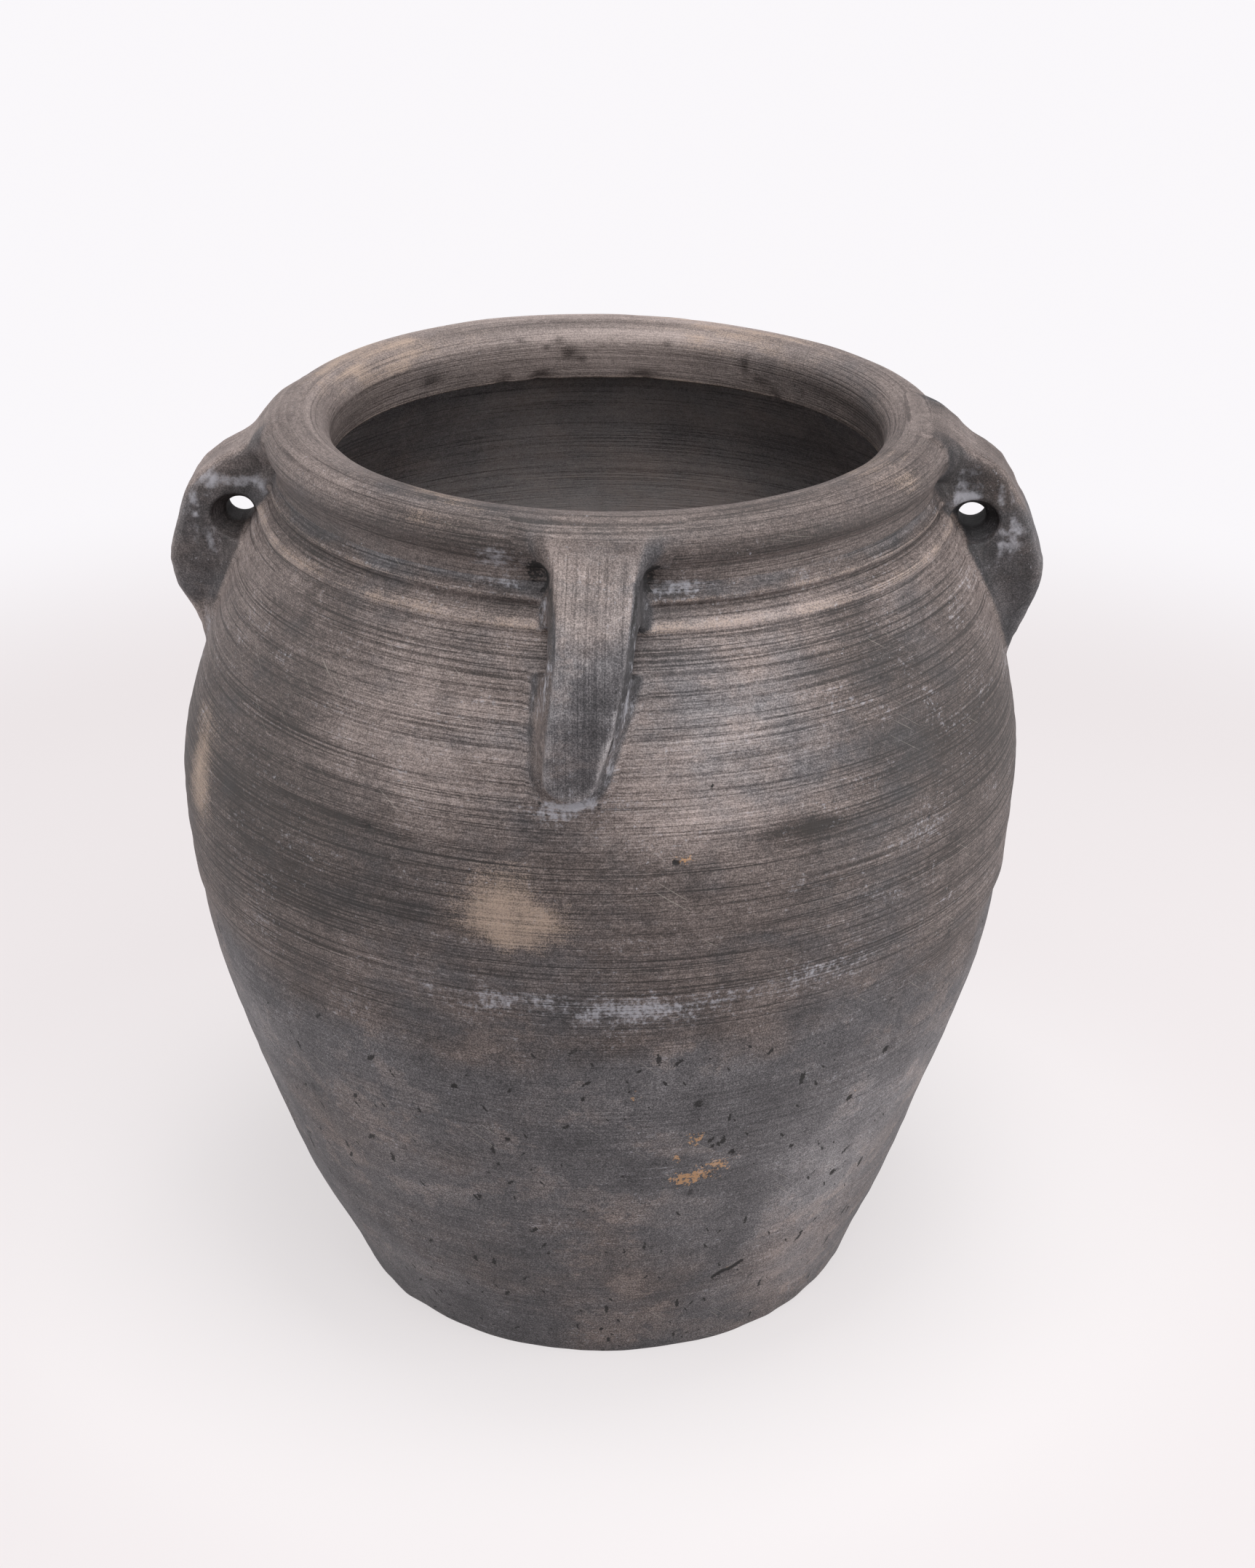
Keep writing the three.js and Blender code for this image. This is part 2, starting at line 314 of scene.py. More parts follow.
bodyPaint = {
    "tone": [  # degrees, height share, half widths, amount; partly smoke clouding, partly painted light on the shoulder and lower right and painted shade at the sides
        (16, 0.785, 17, 0.075, 0.23), (12, 0.710, 14, 0.030, 0.23), (-26, 0.79, 16, 0.060, 0.14),
        (-22, 0.72, 12, 0.030, 0.14), (-52, 0.79, 14, 0.090, -0.26), (-72, 0.78, 10, 0.090, -0.20),
        (45, 0.80, 13, 0.085, -0.29), (64, 0.76, 13, 0.100, -0.25), (-42, 0.64, 24, 0.060, -0.09),
        (28, 0.690, 6, 0.010, -0.36), (25, 0.694, 7, 0.005, -0.26), (6, 0.565, 14, 0.016, 0.05),
        (-33, 0.498, 14, 0.016, -0.03), (12, 0.490, 20, 0.014, -0.02), (0, 0.42, 26, 0.040, 0.09),
        (0, 0.29, 17, 0.070, -0.07), (42, 0.22, 16, 0.110, 0.31), (40, 0.08, 16, 0.060, 0.20),
        (-38, 0.20, 18, 0.110, 0.10), (-40, 0.09, 16, 0.050, 0.06), (-36, 0.39, 12, 0.040, 0.04),
        (64, 0.34, 12, 0.140, 0.08), (-64, 0.34, 12, 0.120, 0.12), (8, 0.82, 2.6, 0.045, -0.10),
        (28, 0.897, 24, 0.009, 0.22), (-28, 0.945, 20, 0.020, 0.11), (30, 0.945, 18, 0.018, 0.09),
    ],
    "brown": [
        (-36, 0.470, 12, 0.030, 0.50), (-18, 0.458, 9, 0.024, 0.65), (8, 0.480, 12, 0.018, 0.30),
        (22, 0.455, 5, 0.030, 0.50), (2, 0.19, 6, 0.050, 0.40), (-20, 0.12, 12, 0.050, 0.40),
        (10, 0.12, 9, 0.045, 0.45), (-50, 0.30, 9, 0.080, 0.35), (34, 0.10, 8, 0.060, 0.30),
        (60, 0.45, 10, 0.050, 0.35),
    ],
    "tan": [
        (-14.4, 0.630, 4.0, 0.025, 0.88), (-8.8, 0.628, 4.2, 0.026, 0.84), (-11.4, 0.662, 4.4, 0.020, 0.44),
        (-11.4, 0.603, 6.4, 0.015, 0.52), (-69, 0.645, 6.0, 0.060, 1.00), (155, 0.60, 8, 0.060, 0.80),
        (100, 0.68, 6, 0.040, 0.60), (-130, 0.62, 7, 0.050, 0.70),
    ],
    "bloom": [
        (8, 0.525, 15, 0.020, 0.48), (-9, 0.532, 9, 0.017, 0.42), (30, 0.538, 10, 0.019, 0.38),
        (46, 0.655, 6, 0.016, 0.36), (38, 0.600, 7, 0.012, 0.26), (-9, 0.724, 5, 0.010, 0.45),
        (2, 0.738, 4, 0.012, 0.30), (-19, 0.948, 4, 0.006, 0.55), (10, 0.932, 5, 0.012, 0.55),
        (-16, 0.930, 4, 0.010, 0.45), (30, 0.64, 8, 0.020, 0.20), (-28, 0.36, 9, 0.006, 0.22),
        (92, 0.73, 9, 0.030, 0.50), (-92, 0.73, 9, 0.030, 0.50), (180, 0.73, 9, 0.030, 0.50),
    ],
    "rust": [
        (16, 0.281, 3.2, 0.014, 0.48), (13, 0.277, 2.2, 0.012, 0.48), (19, 0.292, 2.2, 0.010, 0.46),
        (14, 0.345, 1.6, 0.012, 0.50), (12, 0.318, 1.4, 0.010, 0.48), (10, 0.680, 1.8, 0.006, 0.50),
        (21, 0.311, 1.2, 0.006, 0.45), (40, 0.339, 1.0, 0.006, 0.40), (24.5, 0.117, 2.0, 0.006, 0.25),
        (5, 0.402, 0.9, 0.005, 0.45),
    ],
    "toneBands": [  # amount, and the height shares between which it comes and goes
        (0.16, 0.70, 0.80, 0.86, 0.93), (-0.08, 0.53, 0.60, 0.68, 0.72),
        (-0.03, 0.888, 0.900, 2, 3), (0.015, 0.55, 0.62, 2, 3),
    ],
    "crests": [(0.9, 0.3406, 0.0024), (0.7, 0.3494, 0.0010)],  # amount, height, half height; the ridge tops in tan and lighter: tan clay and a painted highlight
    # amount, height, half height of the painted shadow line under each ridge
    "cuts": [(1.0, 0.3467, 0.0009), (0.8, 0.3370, 0.0008)],
    "wander": [(2.2, 60, 0.018, 41), (1.0, 160, 0.007, 42)],  # amount, cells round, height, seed
    "drift": [(0.0035, 48, 0.016, 43), (0.0012, 150, 0.006, 44)],
    "border": [(0.020, 7, 0.05, 50), (0.016, 22, 0.02, 45), (0.008, 70, 0.008, 51)],
    "clouds": [(0.05, 9, 0.06, 46), (0.04, 26, 0.03, 47)],
    "hiddenSpots": 46,
}


def hiddenTones():  # smoke marks for the sides that the picture doesn't show
    pick = np.random.default_rng(123)
    marks = []
    for spot in range(bodyPaint["hiddenSpots"]):
        high = pick.uniform(0.05, 0.9)
        lift = 0.10 if high > 0.74 else -0.04 if high > 0.55 else 0.0
        reach = (pick.uniform(6, 20), pick.uniform(0.02, 0.07))
        marks.append((pick.uniform(88, 272), high, *reach, lift + pick.uniform(-0.09, 0.09)))
    return marks


# smoke clouding with painted light and shade from the tone list, and the hidden smoke marks
smokeAndLightMarks = bodyPaint["tone"] + hiddenTones()


def paintBody(theta, z):
    paint = bodyPaint
    ragged = theta + np.radians(layers(theta, z, paint["wander"]))
    share = (z + layers(theta, z, paint["drift"])) / jar["height"]
    upper = softStep(0.430, 0.530, share + layers(theta, z, paint["border"]))  # thrown half
    sides = softStep(30, 60, np.abs(angleApart(theta, 6)))
    crest = sum(amount * hump(z, height, tall) for amount, height, tall in paint["crests"])
    crest = crest * (0.75 + 0.35 * around(theta, z, 40, 0.004, 49))
    cut = sum(amount * hump(z, height, tall) for amount, height, tall in paint["cuts"])
    cut = cut * (0.8 + 0.6 * around(theta, z, 24, 0.004, 52))
    tone = 0.37 + layers(theta, z, paint["clouds"]) + sumSpots(ragged, share, smokeAndLightMarks)
    for amount, *edges in paint["toneBands"]:
        tone += amount * band(share, *edges)
    # painted highlight on the ridge tops and painted shadow under them
    tone += 0.22 * crest - 0.13 * cut - 0.025 * sides * upper
    warm = 0.17 + (0.54 + 0.30 * sides) * upper + 0.25 * around(theta, z, 18, 0.04, 48)
    warm += sumSpots(ragged, share, paint["brown"]) - 0.5 * band(share, 0.920, 0.930, 0.965, 0.975)
    tan = sumSpots(ragged, share, paint["tan"]) + 0.75 * crest
    return {
        "tone": tone,
        "warm": unit(warm),
        "tan": unit(tan),
        "bloom": unit(sumSpots(ragged, share, paint["bloom"])),
        "rust": unit(sumSpots(theta, share, paint["rust"])),
        # pits and thumb dents painted dark: soot and painted shade in the hollows
        "hollow": unit(pitDepth(theta, z) / 0.0009 + 0.8 * dentShade(theta, z)),
        "thrown": upper,
        "calm": 0.55 * sides * upper,
    }


# mesh helpers

def linked(name, data):
    thing = bpy.data.objects.new(name, data)
    bpy.context.scene.collection.objects.link(thing)
    return thing


def buildMesh(name, points, quads, masks, drag, uv=None):
    mesh = bpy.data.meshes.new(name)
    mesh.vertices.add(len(points))
    mesh.vertices.foreach_set("co", handBent(points).astype(np.float32).ravel())
    mesh.loops.add(quads.size)
    mesh.loops.foreach_set("vertex_index", quads.astype(np.int32).ravel())
    mesh.polygons.add(len(quads))
    mesh.polygons.foreach_set("loop_start", np.arange(0, quads.size, 4, dtype=np.int32))
    mesh.update(calc_edges=True)
    mesh.validate()
    for mask, values in masks.items():
        layer = mesh.attributes.new(mask, "FLOAT", "POINT")
        layer.data.foreach_set("value", values.astype(np.float32).ravel())
    layer = mesh.attributes.new("drag", "FLOAT_VECTOR", "POINT")  # two long ways and the way across the marks
    layer.data.foreach_set("vector", drag.astype(np.float32).ravel())
    if uv is not None:
        mesh.uv_layers.new(name="OFBake").data.foreach_set("uv", uv.astype(np.float32).ravel())
    mesh.shade_smooth()
    mesh.set_sharp_from_angle(angle=math.radians(50))
    return linked(name, mesh)


def onJar(theta, radius, z):  # angle runs from the front lug round to the right
    return np.stack([radius * np.sin(theta), -radius * np.cos(theta), z], -1)


def ringPiece(name, section, paint):  # section(theta) gives closed rows of radius and height
    steps = jar["aroundSteps"]
    theta = np.arange(steps) / steps * fullTurn
    radius, z = section(theta[:, None])
    rows = radius.shape[1]
    angle = np.repeat(theta[:, None], rows, 1)
    points = onJar(angle, radius, z).reshape(-1, 3)
    lengths = np.hypot(np.diff(radius[0]), np.diff(z[0]))
    along = np.concatenate([[0], np.cumsum(lengths)])
    closing = math.hypot(radius[0, 0] - radius[0, -1], z[0, 0] - z[0, -1])
    i, j = np.meshgrid(np.arange(steps), np.arange(rows), indexing="ij")
    right = (i + 1) % steps
    up = (j + 1) % rows
    corners = [i * rows + j, right * rows + j, right * rows + up, i * rows + up]
    quads = np.stack(corners, -1).reshape(-1, 4)
    level = np.append(along, along[-1] + closing) / (along[-1] + closing)
    u = np.stack([i, i + 1, i + 1, i], -1) / steps
    v = np.stack([level[j], level[j], level[j + 1], level[j + 1]], -1)
    uv = np.stack([u, v], -1).reshape(-1, 2) * 0.98 + 0.01  # kept off the edge of the sheet
    drag = points.copy()
    drag[:, 2] = np.tile(along, steps)
    return buildMesh(name, points, quads, paint(angle.ravel(), z.ravel(), radius.ravel()), drag, uv)


def onGrid(theta, row):  # the same row of values at every angle
    return np.ones_like(theta) * np.asarray(row)[None, :]


# the turned pieces

def wallSection(low, high, rows):
    def section(theta):
        outerZ = onGrid(theta, np.linspace(low, high, rows[0]))
        innerZ = onGrid(theta, np.linspace(high, low, rows[1]))
        outer = outerRadius(theta * np.ones_like(outerZ), outerZ)
        inner = innerRadius(theta * np.ones_like(innerZ), innerZ)
        return np.hstack([outer, inner]), np.hstack([outerZ, innerZ])

    return section


insidePaint = {
    "far": 46,  # half width in degrees of the wall that faces the picture
    "depth": (0.345, 0.250),
    "smears": [(0.08, 9, 0.022, 61), (0.07, 3, 0.005, 62), (0.07, 40, 0.016, 63)],
}


def paintWall(theta, z, radius):
    masks = paintBody(theta, z)
    inside = softStep(0.004, 0.007, outlineAt(z) - radius)
    for mask in ("tan", "bloom", "rust", "hollow"):
        masks[mask] = masks[mask] * (1 - inside)
    # the inside wall that faces the camera is lighter, more so deeper down: grey dusty clay and painted light
    deep = softStep(*insidePaint["depth"], z)
    facing = sector(theta, 180, insidePaint["far"])
    dustAndLight = 0.50 + (0.26 + 0.46 * facing) * deep + 0.32 * facing + layers(theta, z, insidePaint["smears"])
    masks["tone"] = mixed(masks["tone"], dustAndLight, inside)
    masks["bloom"] = masks["bloom"] + (0.10 + 0.20 * facing) * deep * inside
    masks["tan"] = masks["tan"] + (0.10 + 0.34 * facing) * deep * inside
    masks["warm"] = mixed(masks["warm"], 0.40, inside)
    masks["calm"] = 0.5 * inside
    masks["thrown"] = np.maximum(masks["thrown"], inside)
    return masks


rimForm = {
    "rollRadius": 0.1244,
    "rollHeight": 0.3686,
    "halfWidth": 0.0132,
    "halfHeight": 0.0112,
    "rollSize": 0.0122,
    "underAngle": -11,
    "lipRadius": 0.1122,
    "lipRound": 0.0007,
    "seatRadius": 0.1335,
    "bodyPaintTop": 0.362,  # above this the body's own paint is carried on
    "rows": {"band": 14, "roll": 74, "inside": 16, "lip": 5, "seat": 6},
    "skin": [  # amount, cells round, height, seed
        (0.0005, 7, 0.03, 71), (0.00016, 40, 0.010, 72),
        (0.00010, 3, 0.0030, 73), (0.00007, 6, 0.0015, 74),
    ],
    "chips": [(172, 7, 0.0016), (195, 5, 0.0019), (204, 4, 0.0015), (140, 3, 0.0012), (-60, 3, 0.0010)],
    "scars": [  # degrees, height, half widths, amount
        (187, 0.3665, 3.0, 0.0026, 0.42), (146, 0.3650, 1.8, 0.0020, 0.6), (133, 0.3645, 1.6, 0.0022, 0.6),
    ],
    "stains": [  # degrees, way round the roll, half widths, amount
        (187.5, 0.0585, 1.9, 0.0026, 0.50), (190, 0.0535, 1.1, 0.0013, 0.42),
        (184.5, 0.0610, 1.0, 0.0016, 0.42),
        (193, 0.0560, 0.8, 0.0010, 0.36), (199, 0.0525, 1.0, 0.0011, 0.36), (221, 0.0625, 1.8, 0.0020, 0.36),
        (150, 0.0580, 1.5, 0.0040, 0.38), (145, 0.0635, 2.6, 0.0018, 0.30), (163, 0.0540, 0.9, 0.0012, 0.34),
        (122, 0.0590, 18, 0.0100, 0.15), (198, 0.0440, 30, 0.0040, 0.17), (164, 0.0450, 24, 0.0036, 0.12),
    ],
    "tan": [(-125, 22, 1.0), (150, 22, 0.8), (-30, 9, 0.4), (55, 10, 0.5)],  # degrees, half width, amount
    # degrees, half width, amount; the 180 degree entry lightens the far side: paler clay and painted light
    "shades": [(180, 62, 0.34), (-96, 34, 0.05), (80, 40, -0.02), (32, 18, -0.10), (-28, 20, -0.08)],
    "streaks": [(0.08, 4, 0.0024, 86), (0.07, 9, 0.0050, 87)],
}


def rimSection(theta):
    form = rimForm
    rows = form["rows"]
    seat = jar["rimSeat"]
    bandZ = np.linspace(seat, jar["bandTop"], rows["band"])
    turn = np.linspace(math.radians(form["underAngle"]), math.pi, rows["roll"])
    rollR = form["rollRadius"] + form["halfWidth"] * np.cos(turn)
    rollZ = form["rollHeight"] + form["halfHeight"] * np.sin(turn)
    insideZ = np.linspace(form["rollHeight"], seat + form["lipRound"], rows["inside"])[1:]
    insideR = np.linspace(rollR[-1], form["lipRadius"], rows["inside"])[1:]
    lipTurn = np.linspace(math.pi, 1.5 * math.pi, rows["lip"])[1:]
    lipR = form["lipRadius"] + form["lipRound"] * (1 + np.cos(lipTurn))
    lipZ = seat + form["lipRound"] * (1 + np.sin(lipTurn))
    seatR = np.linspace(lipR[-1], form["seatRadius"], rows["seat"])[1:]
    seatZ = np.full(rows["seat"] - 1, seat)
    bandR = np.full(rows["band"], 0.1342)  # only for the way along; the neck's own shape replaces it
    flatR = np.concatenate([bandR, rollR, insideR, lipR, seatR])
    flatZ = np.concatenate([bandZ, rollZ, insideZ, lipZ, seatZ])
    count = len(flatR)
    z = onGrid(theta, flatZ)
    radius = onGrid(theta, flatR)
    angle = theta * np.ones_like(z)
    neck = slice(0, rows["band"])
    radius[:, neck] = outerRadius(angle[:, neck], z[:, neck])
    way = np.concatenate([[0], np.cumsum(np.hypot(np.diff(flatR), np.diff(flatZ)))])
    skin = layers(angle, onGrid(theta, way), form["skin"])
    roll = slice(rows["band"], rows["band"] + rows["roll"])
    outX = np.cos(turn)[None, :] / form["halfWidth"]
    outZ = np.sin(turn)[None, :] / form["halfHeight"]
    size = np.hypot(outX, outZ)
    radius[:, roll] += skin[:, roll] * outX / size
    z[:, roll] += skin[:, roll] * outZ / size
    lower = slice(roll.stop, count - rows["seat"] + 1)
    radius[:, lower] -= skin[:, lower]
    inner = slice(roll.stop - 8, lower.stop)
    ragged = 1 + 0.5 * around(angle[:, inner], z[:, inner], 240, 0.0016, 75)
    for degrees, wide, deep in form["chips"]:
        bite = blob(angle, z, (degrees, seat), (wide * 0.45, 0.0032))
        radius[:, inner] += deep * bite[:, inner] * ragged
    z[:, roll] = np.minimum(z[:, roll], jar["height"] + 0.0008)
    return radius, z


def sumSectors(theta, rows):
    return sum(amount * sector(theta, degrees, wide) for degrees, wide, amount in rows)


def paintRim(theta, z, radius):
    form = rimForm
    masks = paintBody(theta, np.minimum(z, form["bodyPaintTop"]))
    top = softStep(0.366, 0.377, z)
    inside = softStep(0.122, 0.113, radius) * softStep(0.374, 0.364, z)
    lip = hump(z, jar["rimSeat"], 0.0022) * softStep(0.116, 0.113, radius)
    ragged = theta + np.radians(6) * around(theta, radius, 30, 0.006, 81)
    far = sector(theta, 180, 62)
    left = sector(theta, -96, 34)
    roll = np.arctan2(z - form["rollHeight"], radius - form["rollRadius"])
    roll = form["rollSize"] * ((roll + math.pi / 2) % fullTurn)  # way round the roll in metres
    streaks = layers(theta, roll, form["streaks"])
    # the far side of the rim, its top and its inside face, is painted lighter: partly paler clay, partly
    # painted light
    tone = 0.37 + 0.04 * top + sumSectors(theta, form["shades"]) + streaks
    tone += 0.05 * around(theta, roll, 24, 0.006, 82)
    inner = 0.32 + 0.38 * far + 0.06 * left + 0.06 * around(theta, z, 30, 0.006, 83) + streaks
    under = softStep(0.3665, 0.3590, z) * softStep(0.129, 0.133, radius)
    tone = mixed(tone, masks["tone"], under)
    masks["tone"] = mixed(tone, inner, inside) - sumSpots(ragged, roll, form["stains"])
    ruddy = 0.78 + 0.25 * far + 0.2 * left + 0.25 * sector(theta, 40, 30)
    masks["warm"] = unit(ruddy + 0.2 * around(theta, radius, 14, 0.008, 84))
    masks["calm"] = np.clip(0.35 + 0.5 * far + 0.3 * left, 0, 0.85)
    masks["bloom"] = masks["bloom"] * softStep(0.372, 0.366, z)
    # painted shadow along the groove under the roll
    groove = hump(z, 0.3620, 0.0011) * sector(theta, 34, 30)
    outside = softStep(0.130, 0.133, radius) * softStep(0.369, 0.365, z)
    scar = sumSpots(ragged, z, form["scars"]) * softStep(0.118, 0.114, radius)
    masks["hollow"] = unit((masks["hollow"] + 0.5 * groove) * outside + scar)
    flecked = 0.7 + 0.6 * around(theta, radius, 60, 0.003, 85)
    tan = unit(sumSectors(ragged, form["tan"]) * top * 1.05 * flecked + 0.4 * lip)
    burr = 0.5 * sumSpots(ragged, z - 0.0016, form["scars"]) * (1 - scar)  # pale edge above each scar
    masks["tan"] = unit(tan + burr)
    masks["thrown"] = masks["thrown"] * 0 + 1
    return masks


floorForm = {
    "topRadius": 0.112,
    "underRadius": 0.103,
    "rows": {"outer": 26, "flat": 22, "hole": 8},
}


def floorSection(theta):
    form = floorForm
    rows = form["rows"]
    drain = jar["drainRadius"]
    outerZ = onGrid(theta, np.linspace(0, jar["floor"], rows["outer"]))
    outer = outerRadius(theta * np.ones_like(outerZ), outerZ)
    upside = onGrid(theta, np.linspace(form["topRadius"], drain, rows["flat"]))
    uneven = around(theta * np.ones_like(upside), upside, 9, 0.02, 92)
    topZ = jar["floor"] + 0.0005 * uneven * softStep(0.110, 0.100, upside)
    holeZ = onGrid(theta, np.linspace(jar["floor"], 0, rows["hole"])[1:-1])
    hole = drain + 0.0005 * around(theta * np.ones_like(holeZ), holeZ, 16, 0.006, 91)
    under = onGrid(theta, np.linspace(drain, form["underRadius"], rows["flat"]))
    lift = np.maximum(0.0006 * around(theta * np.ones_like(under), under, 20, 0.016, 93), 0)
    return np.hstack([outer, upside, hole, under]), np.hstack([outerZ, topZ, holeZ, lift])


def paintFloor(theta, z, radius):
    masks = paintBody(theta, z)
    flat = softStep(0.1055, 0.1035, radius)
    upside = flat * softStep(0.007, 0.012, z)
    base = 0.28 + 0.30 * upside + 0.10 * around(theta, radius, 16, 0.02, 94)
    masks["tone"] = mixed(masks["tone"], base, flat)
    masks["bloom"] = masks["bloom"] * (1 - flat) + 0.30 * upside
    masks["thrown"] = mixed(masks["thrown"], 1, flat)
    return masks


# lugs: a strap on a web, luted to the wall, worked out as a distance field

lugForm = {
    "line": [  # distance from the axis and height of the flat outer face
        (0.1180, 0.3640), (0.1270, 0.3690), (0.1340, 0.3708), (0.1410, 0.3688), (0.1493, 0.3645),
        (0.1585, 0.3585), (0.1649, 0.3522), (0.1695, 0.3450), (0.1721, 0.3386), (0.1742, 0.3321),
        (0.1764, 0.3257), (0.1780, 0.3200), (0.1784, 0.3145), (0.1776, 0.3090), (0.1758, 0.3030),
        (0.1731, 0.2968), (0.1703, 0.2905), (0.1684, 0.2845), (0.1679, 0.2780), (0.1694, 0.2700),
    ],
    "faceHalf": [  # height and half width of the face
        (0.262, 0.0096), (0.285, 0.0099), (0.296, 0.0106), (0.312, 0.0118), (0.330, 0.0130),
        (0.350, 0.0139), (0.362, 0.0150), (0.372, 0.0175), (0.392, 0.0200),
    ],
    "leanHeights": [0.262, 0.2926, 0.3306, 0.3686, 0.392],
    "toe": 0.2835,
    "toeRound": 0.0094,
    "sideOut": 0.0012,
    "sideSlope": 0.14,
    "eye": {"out": 0.1500, "height": 0.3352, "radius": 0.0058, "funnel": 0.0044},
    "lute": 0.0085,  # how far the wet joint was smoothed out
    "dent": {"apart": 0.0195, "height": 0.3575, "wide": 0.0055, "tall": 0.0080},  # thumb marks
    "smoke": {"out": 0.1500, "wide": 0.0090, "height": 0.3570, "tall": 0.0080},
    "ash": {"out": 0.1440, "wide": 0.0065, "height": 0.3540, "tall": 0.0070},
    "sunk": 0.0004,
    "cell": 0.00072,
    "corner": (-0.038, 0.120, 0.268),  # sideways, outward and up, where the grid of cells starts
    "reach": (0.038, 0.186, 0.388),  # and where it ends
    "wallAngle": 0.32,  # half the stretch of wall that is worked out round a lug
    "wallHeights": (0.262, 0.392),
    "wallSteps": (420, 200),
    "wallTop": 0.3668,
}
# lean is sideways at top, middle and foot; root and push are outward at the rim and half way down
lugEach = {
    "lug_front": {
        "degrees": 0, "seed": 201, "lean": (0.0021, 0.0002, -0.0058), "root": -0.0030, "push": 0.0,
        "eyeShift": (0.0, 0.0), "step": 0.0026, "worn": 1.0, "shade": 0.0, "sooty": 0.2,
    },
    "lug_right": {
        "degrees": 90, "seed": 202, "lean": (0.0005, -0.0006, 0.0012), "root": 0.0030, "push": -0.0004,
        "eyeShift": (-0.0018, 0.0046), "step": 0.0005, "worn": 0.3, "shade": -0.10, "sooty": 1.0,
    },
    "lug_back": {
        "degrees": 180, "seed": 203, "lean": (-0.0012, 0.0008, 0.0025), "root": -0.0020, "push": 0.0002,
        "eyeShift": (0.0, 0.0015), "step": 0.0016, "worn": 0.6, "shade": 0.0, "sooty": 0.5,
    },
    "lug_left": {
        "degrees": 270, "seed": 204, "lean": (-0.0006, 0.0004, -0.0014), "root": -0.0025, "push": 0.0006,
        "eyeShift": (0.0, 0.0), "step": 0.0005, "worn": 0.3, "shade": 0.07, "sooty": 0.1,
    },
}


def faceShift(settings, z):  # how far a lug's face stands out from the common line
    shift = settings["push"] * band(z, 0.285, 0.315, 0.345, 0.372)
    return shift + settings["root"] * softStep(0.345, 0.366, z)


def leanOf(settings, z):  # sideways lean of a lug at a height
    top, middle, foot = settings["lean"]
    leans = [foot * 1.15, foot, middle, top, top]
    return softLine(list(zip(lugForm["leanHeights"], leans)))(z)


def softMin(a, b, k):
    h = unit(0.5 + 0.5 * (b - a) / k)
    return b + (a - b) * h - k * h * (1 - h)


def softMax(a, b, k):
    return -softMin(-a, -b, k)


def lineDistance(q, z, line):  # signed distance to an open line, positive outside
    best = np.full(q.shape, 1e3)
    side = np.ones(q.shape)
    for (q0, z0), (q1, z1) in zip(line, line[1:]):
        dq = q1 - q0
        dz = z1 - z0
        t = unit(((q - q0) * dq + (z - z0) * dz) / (dq * dq + dz * dz))
        away = np.hypot(q - q0 - t * dq, z - z0 - t * dz)
        turn = (q - q0) * dz - (z - z0) * dq
        closer = away < best
        side = np.where(closer, np.where(turn < 0, 1.0, -1.0), side)
        best = np.minimum(best, away)
    return best * side


def blockNoise(x, y, z, size, seed):  # soft noise in space from three sheets of lattice
    a = lattice(x / size + 50, y / size + 50, seed, 256)
    b = lattice(y / size + 50, z / size + 50, seed + 1, 256)
    c = lattice(z / size + 50, x / size + 50, seed + 2, 256)
    return (a + b + c) / 1.8


def wallTable(degrees):  # the wall round one lug, worked out once and read between its points
    form = lugForm
    angles = np.radians(degrees) + np.linspace(-form["wallAngle"], form["wallAngle"], form["wallSteps"][0])
    heights = np.linspace(*form["wallHeights"], form["wallSteps"][1])
    theta, z = np.meshgrid(angles, heights, indexing="ij")
    radius = outerRadius(theta, np.minimum(z, form["wallTop"]))

    def at(theta, z):
        u = np.clip((theta - angles[0]) / (angles[1] - angles[0]), 0, len(angles) - 1.001)
        v = np.clip((z - heights[0]) / (heights[1] - heights[0]), 0, len(heights) - 1.001)
        i = u.astype(int)
        j = v.astype(int)
        low = mixed(radius[i, j], radius[i + 1, j], u - i)
        high = mixed(radius[i, j + 1], radius[i + 1, j + 1], u - i)
        return mixed(low, high, v - j)

    return at


def bodyDistance(wallAt, theta, radius, z):
    step = 0.002
    slope = (outlineAt(z + step) - outlineAt(z - step)) / (2 * step)
    wall = (radius - wallAt(theta, z)) / np.sqrt(1 + slope**2)
    form = rimForm
    out = (radius - form["rollRadius"]) / form["halfWidth"]
    up = (z - form["rollHeight"]) / form["halfHeight"]
    size = np.maximum(np.hypot(out, up), 1e-4)
    roll = size * (size - 1) / np.maximum(np.hypot(out / form["halfWidth"], up / form["halfHeight"]), 1e-3)
    wall = np.maximum(wall, z - jar["bandTop"])
    return np.minimum(wall, roll)


def thumbMark(beside, z):
    dent = lugForm["dent"]
    return mound((np.abs(beside) - dent["apart"]) / dent["wide"], (z - dent["height"]) / dent["tall"])


def sideSpot(q, z, spot):  # soft spot on the side of a lug
    return mound((q - spot["out"]) / spot["wide"], (z - spot["height"]) / spot["tall"])


